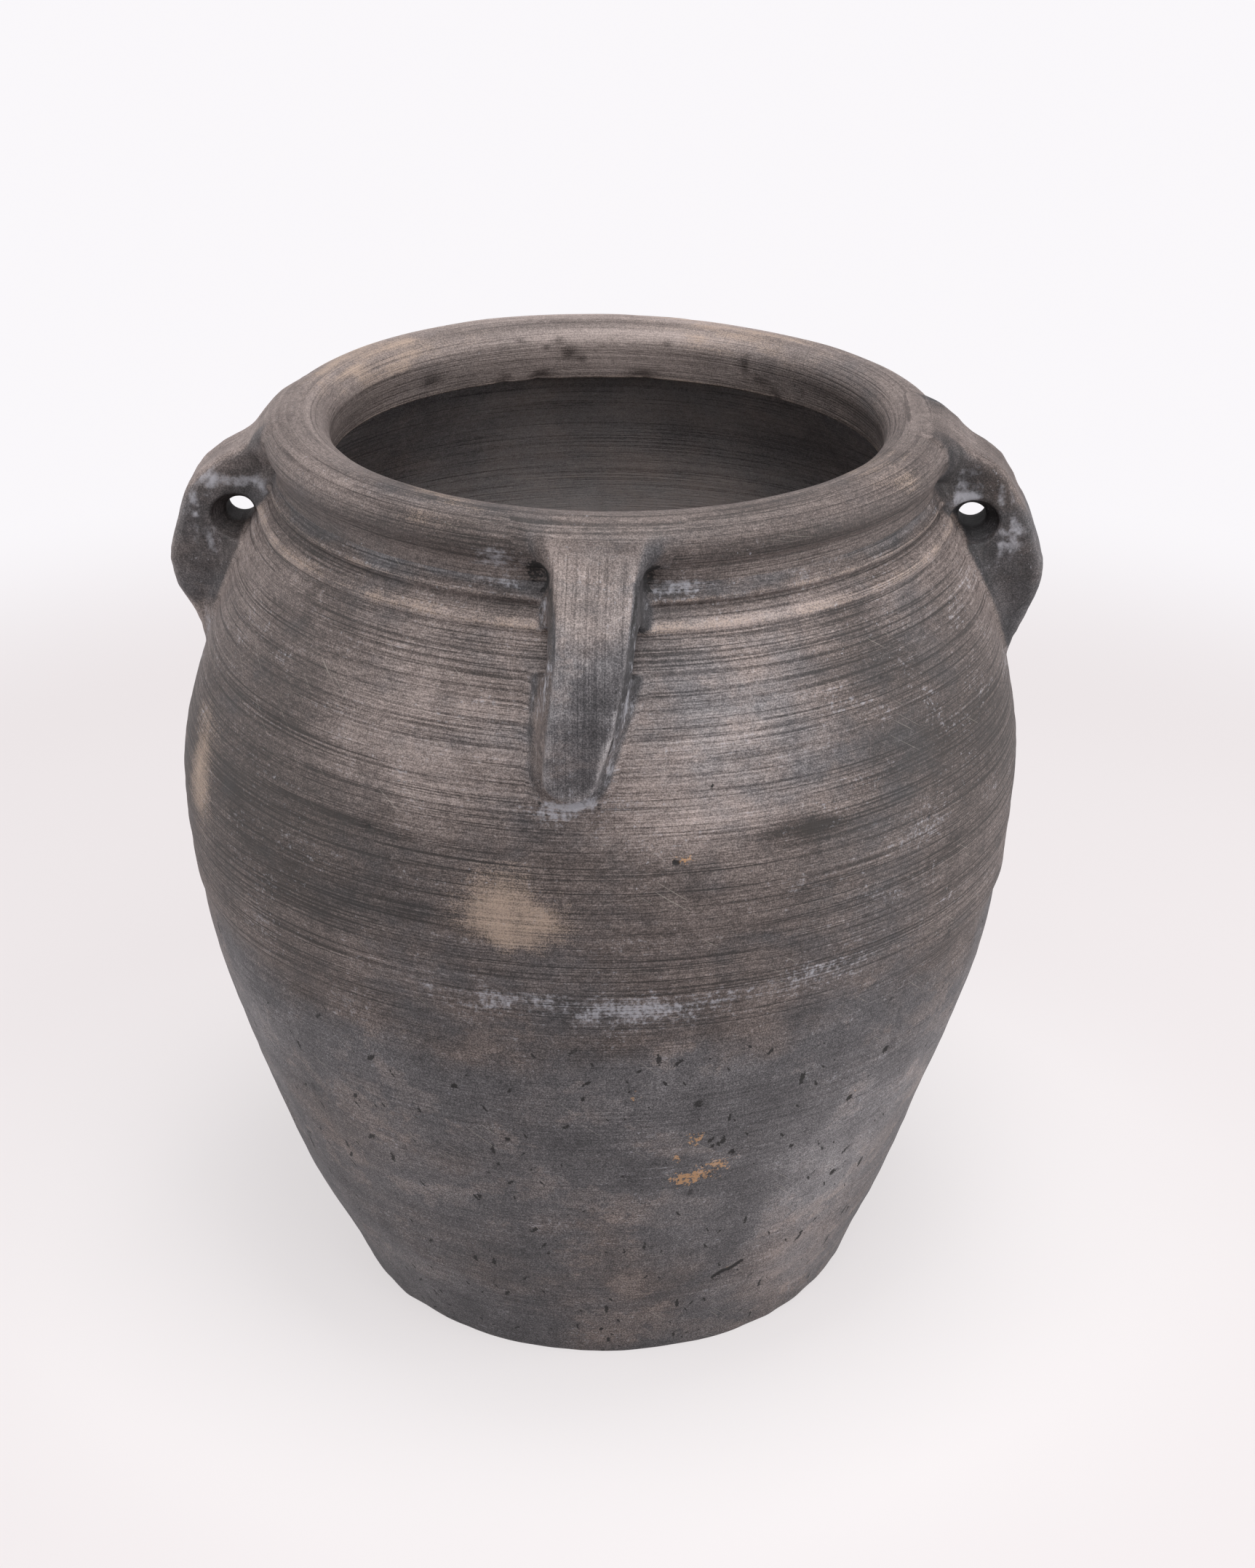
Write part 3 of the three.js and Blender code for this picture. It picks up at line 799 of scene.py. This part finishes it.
def lugField(settings, wallAt, t, q, z):
    form = lugForm
    theta = math.radians(settings["degrees"]) + np.arctan2(t, q)
    faceHalf = softLine(form["faceHalf"])(z)

    def rough(size, sheet):
        return blockNoise(t, q, z, size, settings["seed"] + sheet)

    beside = t - leanOf(settings, z) + 0.0007 * rough(0.014, 0)
    beside += 0.00022 * rough(0.005, 7) + 0.00014 * rough(0.0022, 8)
    shift = faceShift(settings, z) + 0.0010 * rough(0.016, 3)
    shift = shift + 0.00026 * rough(0.0045, 9) + 0.00010 * rough(0.0021, 10)
    plane = lineDistance(q[0], z[0], form["line"])[None] - shift
    drop = np.minimum(z - (form["toe"] + form["toeRound"]), 0)
    faceEdge = np.hypot(beside, drop) - faceHalf
    lower = softStep(0.338, 0.312, z)
    dish = (0.0005 + 0.0006 * lower) * softStep(0.0, -0.006, faceEdge)
    dish -= 0.0007 * lower * hump(faceEdge, -0.0014, 0.0013)  # bead pushed up along the foot
    face = softMax(plane + dish, -plane - 0.007, 0.002)
    face = softMax(face, faceEdge, 0.0076 - 1.85 * settings["step"])
    sideEdge = np.hypot(beside, drop * 0.9) - faceHalf - form["sideOut"]
    sideEdge -= form["sideSlope"] * np.maximum(-plane, 0)
    step = settings["step"] * (1 - 0.75 * softStep(0.348, 0.366, z))  # the face stands out from the sides
    solid = softMin(face, softMax(plane + step, sideEdge, 0.005), 0.0014)
    body = bodyDistance(wallAt, theta, np.hypot(t, q), z)
    lute = form["lute"] * (1 + 0.8 * softStep(0.342, 0.362, z))  # the root was smoothed out further
    lute = lute * (1 - 0.8 * thumbMark(beside, z) * settings["worn"])
    joined = softMin(solid, body + form["sunk"], lute)
    eye = form["eye"]
    outer = softStep(0.004, 0.014, np.abs(beside)) ** 2
    eyeOut = eye["out"] + settings["eyeShift"][0] + 0.0006 * rough(0.010, 5)
    eyeUp = eye["height"] + settings["eyeShift"][1]
    bore = np.hypot(q - eyeOut, (z - eyeUp) * 1.12) - eye["radius"] - eye["funnel"] * outer
    joined = softMax(joined, -bore, 0.0020)
    joined = np.maximum(joined, solid - lute * 1.1)
    return np.maximum(joined, -body - 0.0030)


def netMesh(field, corner, cell):  # quads round a field's zero level, one point in each cell that it cuts
    inside = field < 0
    total = np.zeros(tuple(n - 1 for n in field.shape), np.int8)
    place = np.zeros(total.shape + (3,))
    cuts = np.zeros(total.shape)
    corners = [(a, b, c) for a in (0, 1) for b in (0, 1) for c in (0, 1)]

    def part(grid, offset):
        return grid[tuple(slice(o, o + n) for o, n in zip(offset, total.shape))]

    for offset in corners:
        total += part(inside, offset)
        for axis in range(3):
            if offset[axis]:
                continue
            other = tuple(o + (k == axis) for k, o in enumerate(offset))
            a = part(field, offset)
            b = part(field, other)
            cut = (a < 0) != (b < 0)
            t = np.where(cut, a / np.where(cut, a - b, 1), 0)
            cuts += cut
            for k in range(3):
                place[..., k] += np.where(cut, offset[k] + (t if k == axis else 0), 0)
    active = (total > 0) & (total < 8)
    number = np.full(total.shape, -1, np.int64)
    number[active] = np.arange(active.sum())
    where = np.argwhere(active)
    points = (where + place[active] / cuts[active][:, None]) * cell + corner
    quads = []
    for axis in range(3):
        b, c = [(axis + 1) % 3, (axis + 2) % 3]
        low = [slice(1, -1)] * 3
        high = [slice(1, -1)] * 3
        low[axis] = slice(0, -1)
        high[axis] = slice(1, None)
        start = inside[tuple(low)]
        change = start != inside[tuple(high)]
        at = np.argwhere(change)
        at[:, b] += 1
        at[:, c] += 1
        rings = []
        for db, dc in ((-1, -1), (0, -1), (0, 0), (-1, 0)):
            spot = at.copy()
            spot[:, b] += db
            spot[:, c] += dc
            rings.append(number[spot[:, 0], spot[:, 1], spot[:, 2]])
        ring = np.stack(rings, -1)
        flip = ~start[change]
        ring[flip] = ring[flip][:, ::-1]
        quads.append(ring)
    return points, np.concatenate(quads)


def paintLug(settings, wallAt, t, q, z):
    form = lugForm
    seed = settings["seed"]
    worn = settings["worn"]
    sooty = settings["sooty"]
    theta = math.radians(settings["degrees"]) + np.arctan2(t, q)
    radius = np.hypot(t, q)
    masks = paintBody(theta, np.clip(z, 0, rimForm["bodyPaintTop"]))
    onRim = paintRim(theta, z, radius)
    upon = softStep(0.3610, 0.3670, z)
    for mask in masks:
        masks[mask] = mixed(masks[mask], onRim[mask], upon)
    beside = t - leanOf(settings, z)
    faceHalf = softLine(form["faceHalf"])(z)
    outer = lineDistance(q, z, form["line"]) - faceShift(settings, z)
    edge = np.hypot(beside, np.minimum(z - form["toe"] - form["toeRound"], 0)) - faceHalf
    eye = form["eye"]
    nearEye = np.hypot(q - eye["out"] - settings["eyeShift"][0], z - eye["height"] - settings["eyeShift"][1])
    body = softStep(0.0003, 0.0022, bodyDistance(wallAt, theta, radius, z))
    patch = blockNoise(t, q, z, 0.018, seed + 20)
    small = blockNoise(t, q, z, 0.007, seed + 30) + 0.7 * blockNoise(t, q, z, 0.0026, seed + 40)
    onFace = softStep(-0.0026, -0.0008, outer) * softStep(1.10, 0.92, np.abs(beside) / faceHalf)
    high = softStep(0.292, 0.345, z)
    rim = hump(np.abs(beside), faceHalf, 0.0016) * softStep(-0.005, -0.001, outer)
    # the crease where the strap's sides meet the wall, painted dark further down: painted shade
    crease = hump(np.abs(beside) - faceHalf, 0.0014, 0.0014) * softStep(-0.0060, -0.0030, outer)
    crease *= softStep(0.362, 0.352, z) * worn
    leftBand = band(edge, -0.0005, 0.0010, 0.0035, 0.0075) * (beside < 0)
    bead = hump(edge, -0.0010, 0.0012) * softStep(0.336, 0.322, z)
    bead *= 0.35 + 0.65 * softStep(-0.004, 0.004, beside)

    tone = 0.38 + settings["shade"] + 0.18 * high * onFace + 0.14 * patch + 0.10 * small + 0.07 * rim
    tone -= (1 - onFace * worn) * (0.04 + 0.09 * band(z, 0.300, 0.330, 0.355, 0.372))
    tone += worn * (0.20 * bead * (1 + small) - 0.02 * leftBand)
    # painted shade in the dished lower part of the face
    tone -= 0.03 * softStep(0.330, 0.305, z) * softStep(-0.001, -0.004, edge)
    # painted shade round the funnel of the eye
    tone -= 0.16 * softStep(0.0095, 0.0065, nearEye)
    tone -= 0.26 * sooty * sideSpot(q, z, form["smoke"]) * softStep(-0.3, 0.3, small + 0.5 * patch)
    warm = 0.06 + 0.60 * softStep(0.334, 0.356, z) * onFace + 0.40 * patch + 0.60 * (1 - worn)
    warm += worn * 0.5 * leftBand - 0.45 * sooty * softStep(0.352, 0.340, z)

    bloom = hump(nearEye, 0.015, 0.008) * (0.34 + 0.5 * small + 0.4 * patch) * (1 - onFace)
    bloom += 0.7 * sooty * sideSpot(q, z, form["ash"]) * (0.6 + 0.6 * small)
    toeBloom = hump(edge, 0.0042, 0.0036) * softStep(0.302, 0.288, z) * (0.40 + 0.4 * small)
    toeBloom *= (0.4 + 0.6 * worn) * (0.75 + 0.35 * softStep(-0.006, 0.006, beside))
    creaseBloom = hump(edge, 0.0022, 0.0017) * softStep(0.352, 0.340, z) * (0.34 + 0.5 * small)
    toeBloom += creaseBloom * worn * (0.35 + 0.65 * (beside > 0))
    footBloom = softStep(0.305, 0.290, z) * softStep(0.0, -0.003, edge) * (0.3 + 1.2 * small)
    toeBloom += 0.30 * worn * footBloom
    # painted shade in the thumb marks and the creases beside the strap
    marked = 0.75 * thumbMark(beside, z) * worn * (1 - onFace) + 0.75 * crease * (0.8 + 0.6 * small)

    own = {"tone": tone, "warm": unit(warm), "tan": unit(0.10 * rim * high)}
    own.update({"bloom": bloom * 0.9, "hollow": 0, "thrown": 0.35})
    for mask, values in own.items():
        masks[mask] = mixed(masks[mask], values, body)
    masks["bloom"] = unit(masks["bloom"] + toeBloom)
    masks["hollow"] = unit(masks["hollow"] + marked)
    masks["rust"] = masks["rust"] * 0
    return masks


def lugPiece(name, settings):
    cell = lugForm["cell"]
    corner = np.array(lugForm["corner"])
    count = np.ceil((np.array(lugForm["reach"]) - corner) / cell).astype(int) + 1
    axes = [corner[k] + cell * np.arange(count[k]) for k in range(3)]
    t, q, z = np.meshgrid(*axes, indexing="ij")
    wallAt = wallTable(settings["degrees"])
    points, quads = netMesh(lugField(settings, wallAt, t, q, z), corner, cell)
    t, q, z = points.T
    masks = paintLug(settings, wallAt, t, q, z)
    turn = math.radians(settings["degrees"])
    across = np.array([math.cos(turn), math.sin(turn)])
    outward = np.array([math.sin(turn), -math.cos(turn)])
    placed = np.column_stack([t * across[0] + q * outward[0], t * across[1] + q * outward[1], z])
    heights = np.linspace(jar["seam"], 0.390, 400)
    steps = np.hypot(np.gradient(outlineAt(heights), heights), 1) * (heights[1] - heights[0])
    along = np.interp(z, heights, np.cumsum(steps))
    clear = bodyDistance(wallAt, turn + np.arctan2(t, q), np.hypot(t, q), z)
    own = softStep(0.0012, 0.0034, clear)[:, None]
    drag = mixed(np.column_stack([placed[:, :2], along]), np.column_stack([z, q, t]), own)
    return buildMesh(name, placed, quads, masks, drag)


# shader kit

class Wire:  # a node socket that takes part in sums
    def __init__(self, board, socket):
        self.board = board
        self.socket = socket

    def calc(self, operation, first, second):
        return self.board.add("Math", {"operation": operation}, {0: first, 1: second})

    def __add__(self, other):
        return self.calc("ADD", self, other)

    def __sub__(self, other):
        return self.calc("SUBTRACT", self, other)

    def __rsub__(self, other):
        return self.calc("SUBTRACT", other, self)

    def __mul__(self, other):
        return self.calc("MULTIPLY", self, other)

    def top(self, other):
        return self.calc("MAXIMUM", self, other)

    def swing(self, amount):  # noise about zero, scaled
        return (self - 0.5) * amount

    def span(self, low, high, start=0.0, end=1.0):  # soft remap of a range
        values = {"Value": self, "From Min": low, "From Max": high, "To Min": start, "To Max": end}
        return self.board.add("MapRange", {"interpolation_type": "SMOOTHSTEP"}, values)


class Board:  # the node tree of a material or the world
    def __init__(self, name, tree=None):
        if tree is None:
            self.material = bpy.data.materials.new(name)
            self.material.use_nodes = True
            tree = self.material.node_tree
        self.tree = tree
        self.tree.nodes.clear()

    def add(self, kind, settings=None, sockets=None, out=0):
        node = self.tree.nodes.new("ShaderNode" + kind)
        for key, value in (settings or {}).items():
            if key == "stops":
                ramp = node.color_ramp
                while len(ramp.elements) < len(value):
                    ramp.elements.new(0.5)
                for element, (place, colour) in zip(ramp.elements, value):
                    element.position = place
                    element.color = (*colour, 1)
            else:
                setattr(node, key, value)
        for key, value in (sockets or {}).items():
            if isinstance(value, Wire):
                self.tree.links.new(value.socket, node.inputs[key])
            else:
                node.inputs[key].default_value = value
        return Wire(self, node.outputs[out]) if len(node.outputs) else node

    def mask(self, name):
        return self.add("Attribute", {"attribute_name": name}, out="Fac")

    def noise(self, vector, scale, detail, rough):
        sockets = {"Vector": vector, "Scale": scale, "Detail": detail, "Roughness": rough}
        return self.add("TexNoise", None, sockets)

    def stretch(self, vector, scales):
        return self.add("VectorMath", {"operation": "MULTIPLY"}, {0: vector, 1: scales})

    def streak(self, vector, scales, detail, rough):  # noise with a scale of its own each way
        return self.noise(self.stretch(vector, scales), 1.0, detail, rough)

    def turned(self, vector, angle):
        return self.add("VectorRotate", {"rotation_type": "Z_AXIS"}, {"Vector": vector, "Angle": angle})

    def blend(self, amount, first, second):
        colours = {6: first, 7: second}
        for key, value in colours.items():
            if isinstance(value, tuple):
                colours[key] = (*value, 1)
        return self.add("Mix", {"data_type": "RGBA", "blend_type": "MIX"}, {0: amount, **colours}, out=2)

    def slits(self, vector, scale, rough):  # scattered narrow pits on the unrolled surface
        cell = {"Vector": self.stretch(vector, (1.5, 0.55, 1)), "Scale": scale, "Randomness": 1.0}
        apart = self.add("TexVoronoi", {"voronoi_dimensions": "2D"}, cell, out="Distance")
        tint = self.add("TexVoronoi", {"voronoi_dimensions": "2D"}, cell, out="Color")
        picked = self.add("SeparateColor", None, {0: tint})
        size = self.add("SeparateColor", None, {0: tint}, out="Green") * 0.09 + 0.035
        return (size - apart + rough.swing(0.30)).span(0.0, 0.025) * picked.span(0.84, 0.86)

    def surface(self, shader):
        self.add("OutputMaterial", None, {"Surface": shader})
        return self.material


clayLook = {
    "coolStops": [
        (0.0, (0.020, 0.019, 0.020)), (0.196, (0.052, 0.048, 0.051)), (0.385, (0.115, 0.106, 0.110)),
        (0.7, (0.300, 0.282, 0.285)), (1.0, (0.500, 0.475, 0.475)),
    ],
    "warmStops": [
        (0.0, (0.023, 0.018, 0.016)), (0.196, (0.064, 0.0495, 0.0455)), (0.385, (0.147, 0.118, 0.109)),
        (0.7, (0.360, 0.296, 0.274)), (1.0, (0.560, 0.475, 0.450)),
    ],
    "tan": (0.350, 0.262, 0.205),
    "rust": (0.360, 0.200, 0.095),
    "bloom": (0.350, 0.345, 0.375),
    "dash": (0.300, 0.270, 0.240),
    # near black for pits, slits, dents, creases and the rim groove: soot and painted shade
    "sootAndShade": (0.007, 0.006, 0.006),
    "roughness": 0.66,
    "gloss": 0.32,
    "bump": {"Strength": 0.65, "Distance": 0.0006},
}
clayNoise = {  # scale, detail and roughness
    "sand": (1650, 2.0, 0.65),
    "speck": (430, 2.0, 0.6),
    "torn": (900, 2.0, 0.6),
    "crumb": (800, 1.0, 0.5),
    "scratched": (26, 2.0, 0.5),
    "mottle": ((60, 60, 95), 5.0, 0.65),
    "cloud": ((17, 17, 34), 4.0, 0.6),
    "haze": ((31, 29, 47), 5.0, 0.62),
    "film": ((26, 26, 36), 6.0, 0.68),
    "scrape": ((130, 130, 16), 3.0, 0.6),
    "grain": ((260, 260, 1500), 2.0, 0.6),  # sand pulled along by the wheel
    "fine": ((12, 12, 1500), 2.0, 0.6),
    "thin": ((11, 11, 1150), 1.0, 0.5),
    "broad": ((6, 6, 190), 2.0, 0.5),
    "gather": ((22, 22, 60), 2.0, 0.5),
    "scratch": ((30, 1100, 1), 1.0, 0.5),
}


def clayMaterial(name, streaks, lift):
    look = clayLook
    noise = clayNoise
    board = Board(name)
    spot = board.add("TexCoord", out="Object")
    drag = board.add("Attribute", {"attribute_name": "drag"}, out="Vector")
    thrown = board.mask("thrown")
    calm = board.mask("calm")
    stir = (1 - calm * 0.75) * (thrown * 0.25 + 0.75)
    sand, speck, torn = [board.noise(spot, *noise[key]) for key in ("sand", "speck", "torn")]
    mottle, cloud, haze = [
        board.streak(spot, *noise[key]).swing(stir) + 0.5 for key in ("mottle", "cloud", "haze")
    ]
    film, scrape = [board.streak(spot, *noise[key]) for key in ("film", "scrape")]
    grain, fine, thin, broad, gather = [
        board.streak(drag, *noise[key]) for key in ("grain", "fine", "thin", "broad", "gather")
    ]

    combed = thin.span(0.54, 0.64) * gather.span(0.15, 0.60)  # thin dark lines left by the wheel
    lines = fine.swing(0.58) + broad.swing(0.10) - combed * 0.30 + grain.swing(0.60)
    tone = board.mask("tone") + lift + lines * (thrown * 0.70 + 0.30) * (1 - calm * 0.7) * streaks
    tone = tone + mottle.swing(0.36 - thrown * 0.10) + cloud.swing(0.18) + haze.swing(0.22)
    tone = tone + sand.span(0.28, 0.72).swing(0.52 - thrown * 0.10) * (1 - calm * 0.3)
    tone = tone + speck.swing(0.24) + scrape.swing(1 - thrown) * 0.18
    patch = film.span(0.545, 0.580) * (1 - thrown * 0.65) * stir
    tone = tone + patch * 0.11 - film.span(0.46, 0.41) * stir * 0.09
    warm = board.mask("warm") + cloud.swing(1.0) + haze.swing(1.3) + mottle.swing(0.7) + patch * 0.35
    cool = board.add("ValToRGB", {"stops": look["coolStops"]}, {0: tone * 0.7})
    brown = board.add("ValToRGB", {"stops": look["warmStops"]}, {0: tone * 0.7})
    colour = board.blend(warm.span(0.05, 0.95), cool, brown)

    tan = board.mask("tan")
    brushed = scrape.swing(0.5) + mottle.swing(0.8) + fine.swing(0.9) + sand.swing(1.2)
    tan = (tan * 0.78 - 0.12 + brushed).span(0.0, 1.0) * tan.span(0.02, 0.25)
    colour = board.blend(tan * 0.9, colour, look["tan"])
    rust = board.mask("rust")
    rust = (rust + speck.swing(1.5) + torn.swing(1.3)).span(0.44, 0.56) * rust.span(0.02, 0.2)
    colour = board.blend(rust * 0.8, colour, look["rust"])
    flaky = speck.swing(1.3) + torn.swing(1.0) + fine.swing(1.1) + mottle.swing(1.2) + haze.swing(0.8)
    bloom = (board.mask("bloom") + flaky * (1 - calm)).span(0.24, 0.94)
    colour = board.blend(bloom * 0.72, colour, look["bloom"])
    crumb = board.noise(spot, *noise["crumb"]).span(0.70, 0.75) * haze.span(0.48, 0.62)
    colour = board.blend(crumb * 0.5, colour, look["bloom"])
    flat = board.stretch(board.add("UVMap", {"uv_map": "OFBake"}), (0.95, 0.42, 1))
    tilted = board.turned(flat, 0.75)
    leaning = board.turned(flat, -0.55)
    scratch = board.streak(tilted, *noise["scratch"]).span(0.70, 0.74)
    scratch = scratch * board.noise(spot, *noise["scratched"]).span(0.50, 0.62)
    colour = board.blend(scratch * 0.40, colour, look["dash"])
    # pits and slits, then the hollow mask, painted near black: soot and painted shade in the hollows
    slit = board.slits(flat, 72, torn).top(board.slits(tilted, 80, torn)).top(board.slits(leaning, 125, torn))
    slit = slit * (1 - thrown * 0.93) * (1 - calm)
    hollow = board.mask("hollow")
    hollow = (hollow + torn.swing(0.9) + speck.swing(0.6)).span(0.47, 0.70) * hollow.span(0.15, 0.45)
    colour = board.blend(hollow.top(slit) * 0.94, colour, look["sootAndShade"])

    roughness = mottle.swing(0.25) + sand.swing(0.20) + look["roughness"] + bloom * 0.15
    height = lines * (thrown * 0.80 + 0.20) * 0.8 + sand * 0.22 + speck * 0.30 + mottle * 0.8
    height = height + scrape * (1 - thrown) * 0.6 - slit * 2.0 + scratch * 0.1
    shader = board.add("BsdfPrincipled", None, {
        "Base Color": colour,
        "Roughness": roughness,
        "Specular IOR Level": look["gloss"],
        "Normal": board.add("Bump", None, {**look["bump"], "Height": height}),
    })
    return board.surface(shader)


# put the pieces together

bodyClay = clayMaterial("smokedBodyClay", 1.0, 0.0)
floorClay = clayMaterial("smokedFloorClay", 0.5, -0.02)
lugClay = clayMaterial("smokedLugClay", 1.0, 0.0)


def settle(piece, node, material):
    piece.data.materials.append(material)
    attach(piece, "root")
    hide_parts(node)
    print(piece.name, "faces:", len(piece.data.polygons))


lowerSection = wallSection(jar["floor"], jar["seam"], jar["lowerRows"])
upperSection = wallSection(jar["seam"], jar["rimSeat"], jar["upperRows"])
settle(ringPiece("jarFloor", floorSection, paintFloor), "floor_disc", floorClay)
settle(ringPiece("jarLowerWall", lowerSection, paintWall), "lower_wall", bodyClay)
settle(ringPiece("jarUpperWall", upperSection, paintWall), "upper_wall", bodyClay)
settle(ringPiece("jarRim", rimSection, paintRim), "rim_roll", bodyClay)
for node, settings in lugEach.items():
    lugName = "jarLug" + node.split("_")[1].capitalize()
    settle(lugPiece(lugName, settings), node, lugClay)


# floor, light and camera

studio = {
    "floorRings": [0.5, 1.2, 2.5, 5.0, 9.0],
    "floorSides": 96,
    "floorColour": (0.72, 0.70, 0.705),
    "nearColour": (0.935, 0.895, 0.900),  # paper as the camera sees it, from the jar outwards; the darker, pinker middle ring is painted shade round the jar
    "shadedMiddleColour": (0.825, 0.765, 0.772),
    "farColour": (0.955, 0.935, 0.960),
    "middleFade": (0.14, 0.36),
    "farFade": (0.60, 0.98),
    "shadowFade": (0.50, 0.98),
    "shadowShare": 0.33,
    "worldColour": (0.97, 0.98, 1.0),
    "worldLight": 0.40,
    "aim": (0, 0, 0.2),
    "lamps": [  # place, size, watts
        ("overhead", (0.10, -0.12, 2.10), 0.9, 29),
        ("topFront", (0.30, -1.15, 1.90), 1.2, 20),
        ("lowRight", (1.35, -0.30, 0.25), 0.9, 14),
        ("lowLeft", (-1.40, -0.20, 0.30), 0.9, 8),
    ],
}


def seenRay(board):  # 1 for rays that the picture shows, 0 for rays that carry light
    ray = board.add("LightPath", out="Is Camera Ray")
    glossy = board.add("LightPath", out="Is Glossy Ray")
    through = board.add("LightPath", out="Is Transmission Ray")
    return ray.top(glossy).top(through)


def paperFloor():
    count = studio["floorSides"]
    turns = np.linspace(0, fullTurn, count + 1)[:-1]
    reach = studio["floorRings"]
    points = [(0, 0, 0)]
    points += [(r * math.cos(t), r * math.sin(t), 0) for r in reach for t in turns]
    faces = [(0, 1 + k, 1 + (k + 1) % count) for k in range(count)]
    for ring in range(len(reach) - 1):
        inner = 1 + ring * count
        for k in range(count):
            after = (k + 1) % count
            faces.append((inner + k, inner + count + k, inner + count + after, inner + after))
    mesh = bpy.data.meshes.new("paperFloor")
    mesh.from_pydata(points, [], faces)
    board = Board("studioPaper")
    diffuse = board.add("BsdfDiffuse", None, {"Color": (*studio["floorColour"], 1)})
    place = board.add("NewGeometry", out="Position")
    away = board.add("VectorMath", {"operation": "LENGTH"}, {0: place}, out="Value")
    # the paper darkens into the middle ring, painted shade, then pales again far off
    pale = board.blend(away.span(*studio["middleFade"]), studio["nearColour"], studio["shadedMiddleColour"])
    pale = board.blend(away.span(*studio["farFade"]), pale, studio["farColour"])
    glow = board.add("Emission", None, {"Color": pale, "Strength": 1.0})
    share = seenRay(board) * away.span(*studio["shadowFade"], 1 - studio["shadowShare"], 1.0)
    mesh.materials.append(board.surface(board.add("MixShader", None, {0: share, 1: diffuse, 2: glow})))
    floor = linked("paperFloor", mesh)


def lamps():
    for name, place, size, watts in studio["lamps"]:
        light = bpy.data.lights.new(name, "AREA")
        light.size = size
        light.energy = watts
        lamp = linked(name, light)
        lamp.location = place
        aim = Vector(studio["aim"]) - Vector(place)
        lamp.rotation_mode = "QUATERNION"
        lamp.rotation_quaternion = aim.to_track_quat("-Z", "Y")


def room():
    world = bpy.data.worlds.new("softRoom")
    world.use_nodes = True
    board = Board(None, world.node_tree)
    fill = {"Color": (*studio["worldColour"], 1), "Strength": studio["worldLight"]}
    soft = board.add("Background", None, fill)
    white = board.add("Background", None, {"Color": (*studio["farColour"], 1), "Strength": 1.0})
    mix = board.add("MixShader", None, {0: seenRay(board), 1: soft, 2: white})
    board.add("OutputWorld", None, {"Surface": mix})
    bpy.context.scene.world = world


lens = {
    "distance": 1.216,
    "height": 0.7822,
    "pitch": 0.43867,
    "yaw": 0.00825,
    "roll": 0.00414,
    "focalPixels": 4345.49,
    "framePixels": 2156,
    "sensor": 36,
    "clipStart": 0.05,
}


def camera():
    turn = math.radians(jar["viewTurn"])
    down = math.cos(lens["pitch"])
    ahead = Vector((math.sin(lens["yaw"]) * down, math.cos(lens["yaw"]) * down, -math.sin(lens["pitch"])))
    right = Vector((math.cos(lens["yaw"]), -math.sin(lens["yaw"]), 0))
    up = right.cross(ahead)
    tiltedRight = right * math.cos(lens["roll"]) + up * math.sin(lens["roll"])
    tiltedUp = up * math.cos(lens["roll"]) - right * math.sin(lens["roll"])
    pose = Matrix((tiltedRight, tiltedUp, -ahead)).transposed().to_4x4()
    pose.translation = Vector((0, -lens["distance"], lens["height"]))
    data = bpy.data.cameras.new("pictureCamera")
    data.sensor_width = lens["sensor"]
    data.lens = lens["focalPixels"] / lens["framePixels"] * data.sensor_width
    data.clip_start = lens["clipStart"]
    eye = linked("pictureCamera", data)
    eye.matrix_world = Matrix.Rotation(turn, 4, "Z") @ pose
    bpy.context.scene.camera = eye


paperFloor()
lamps()
room()
camera()
bpy.context.scene.view_settings.view_transform = "Standard"
print("studio ready")
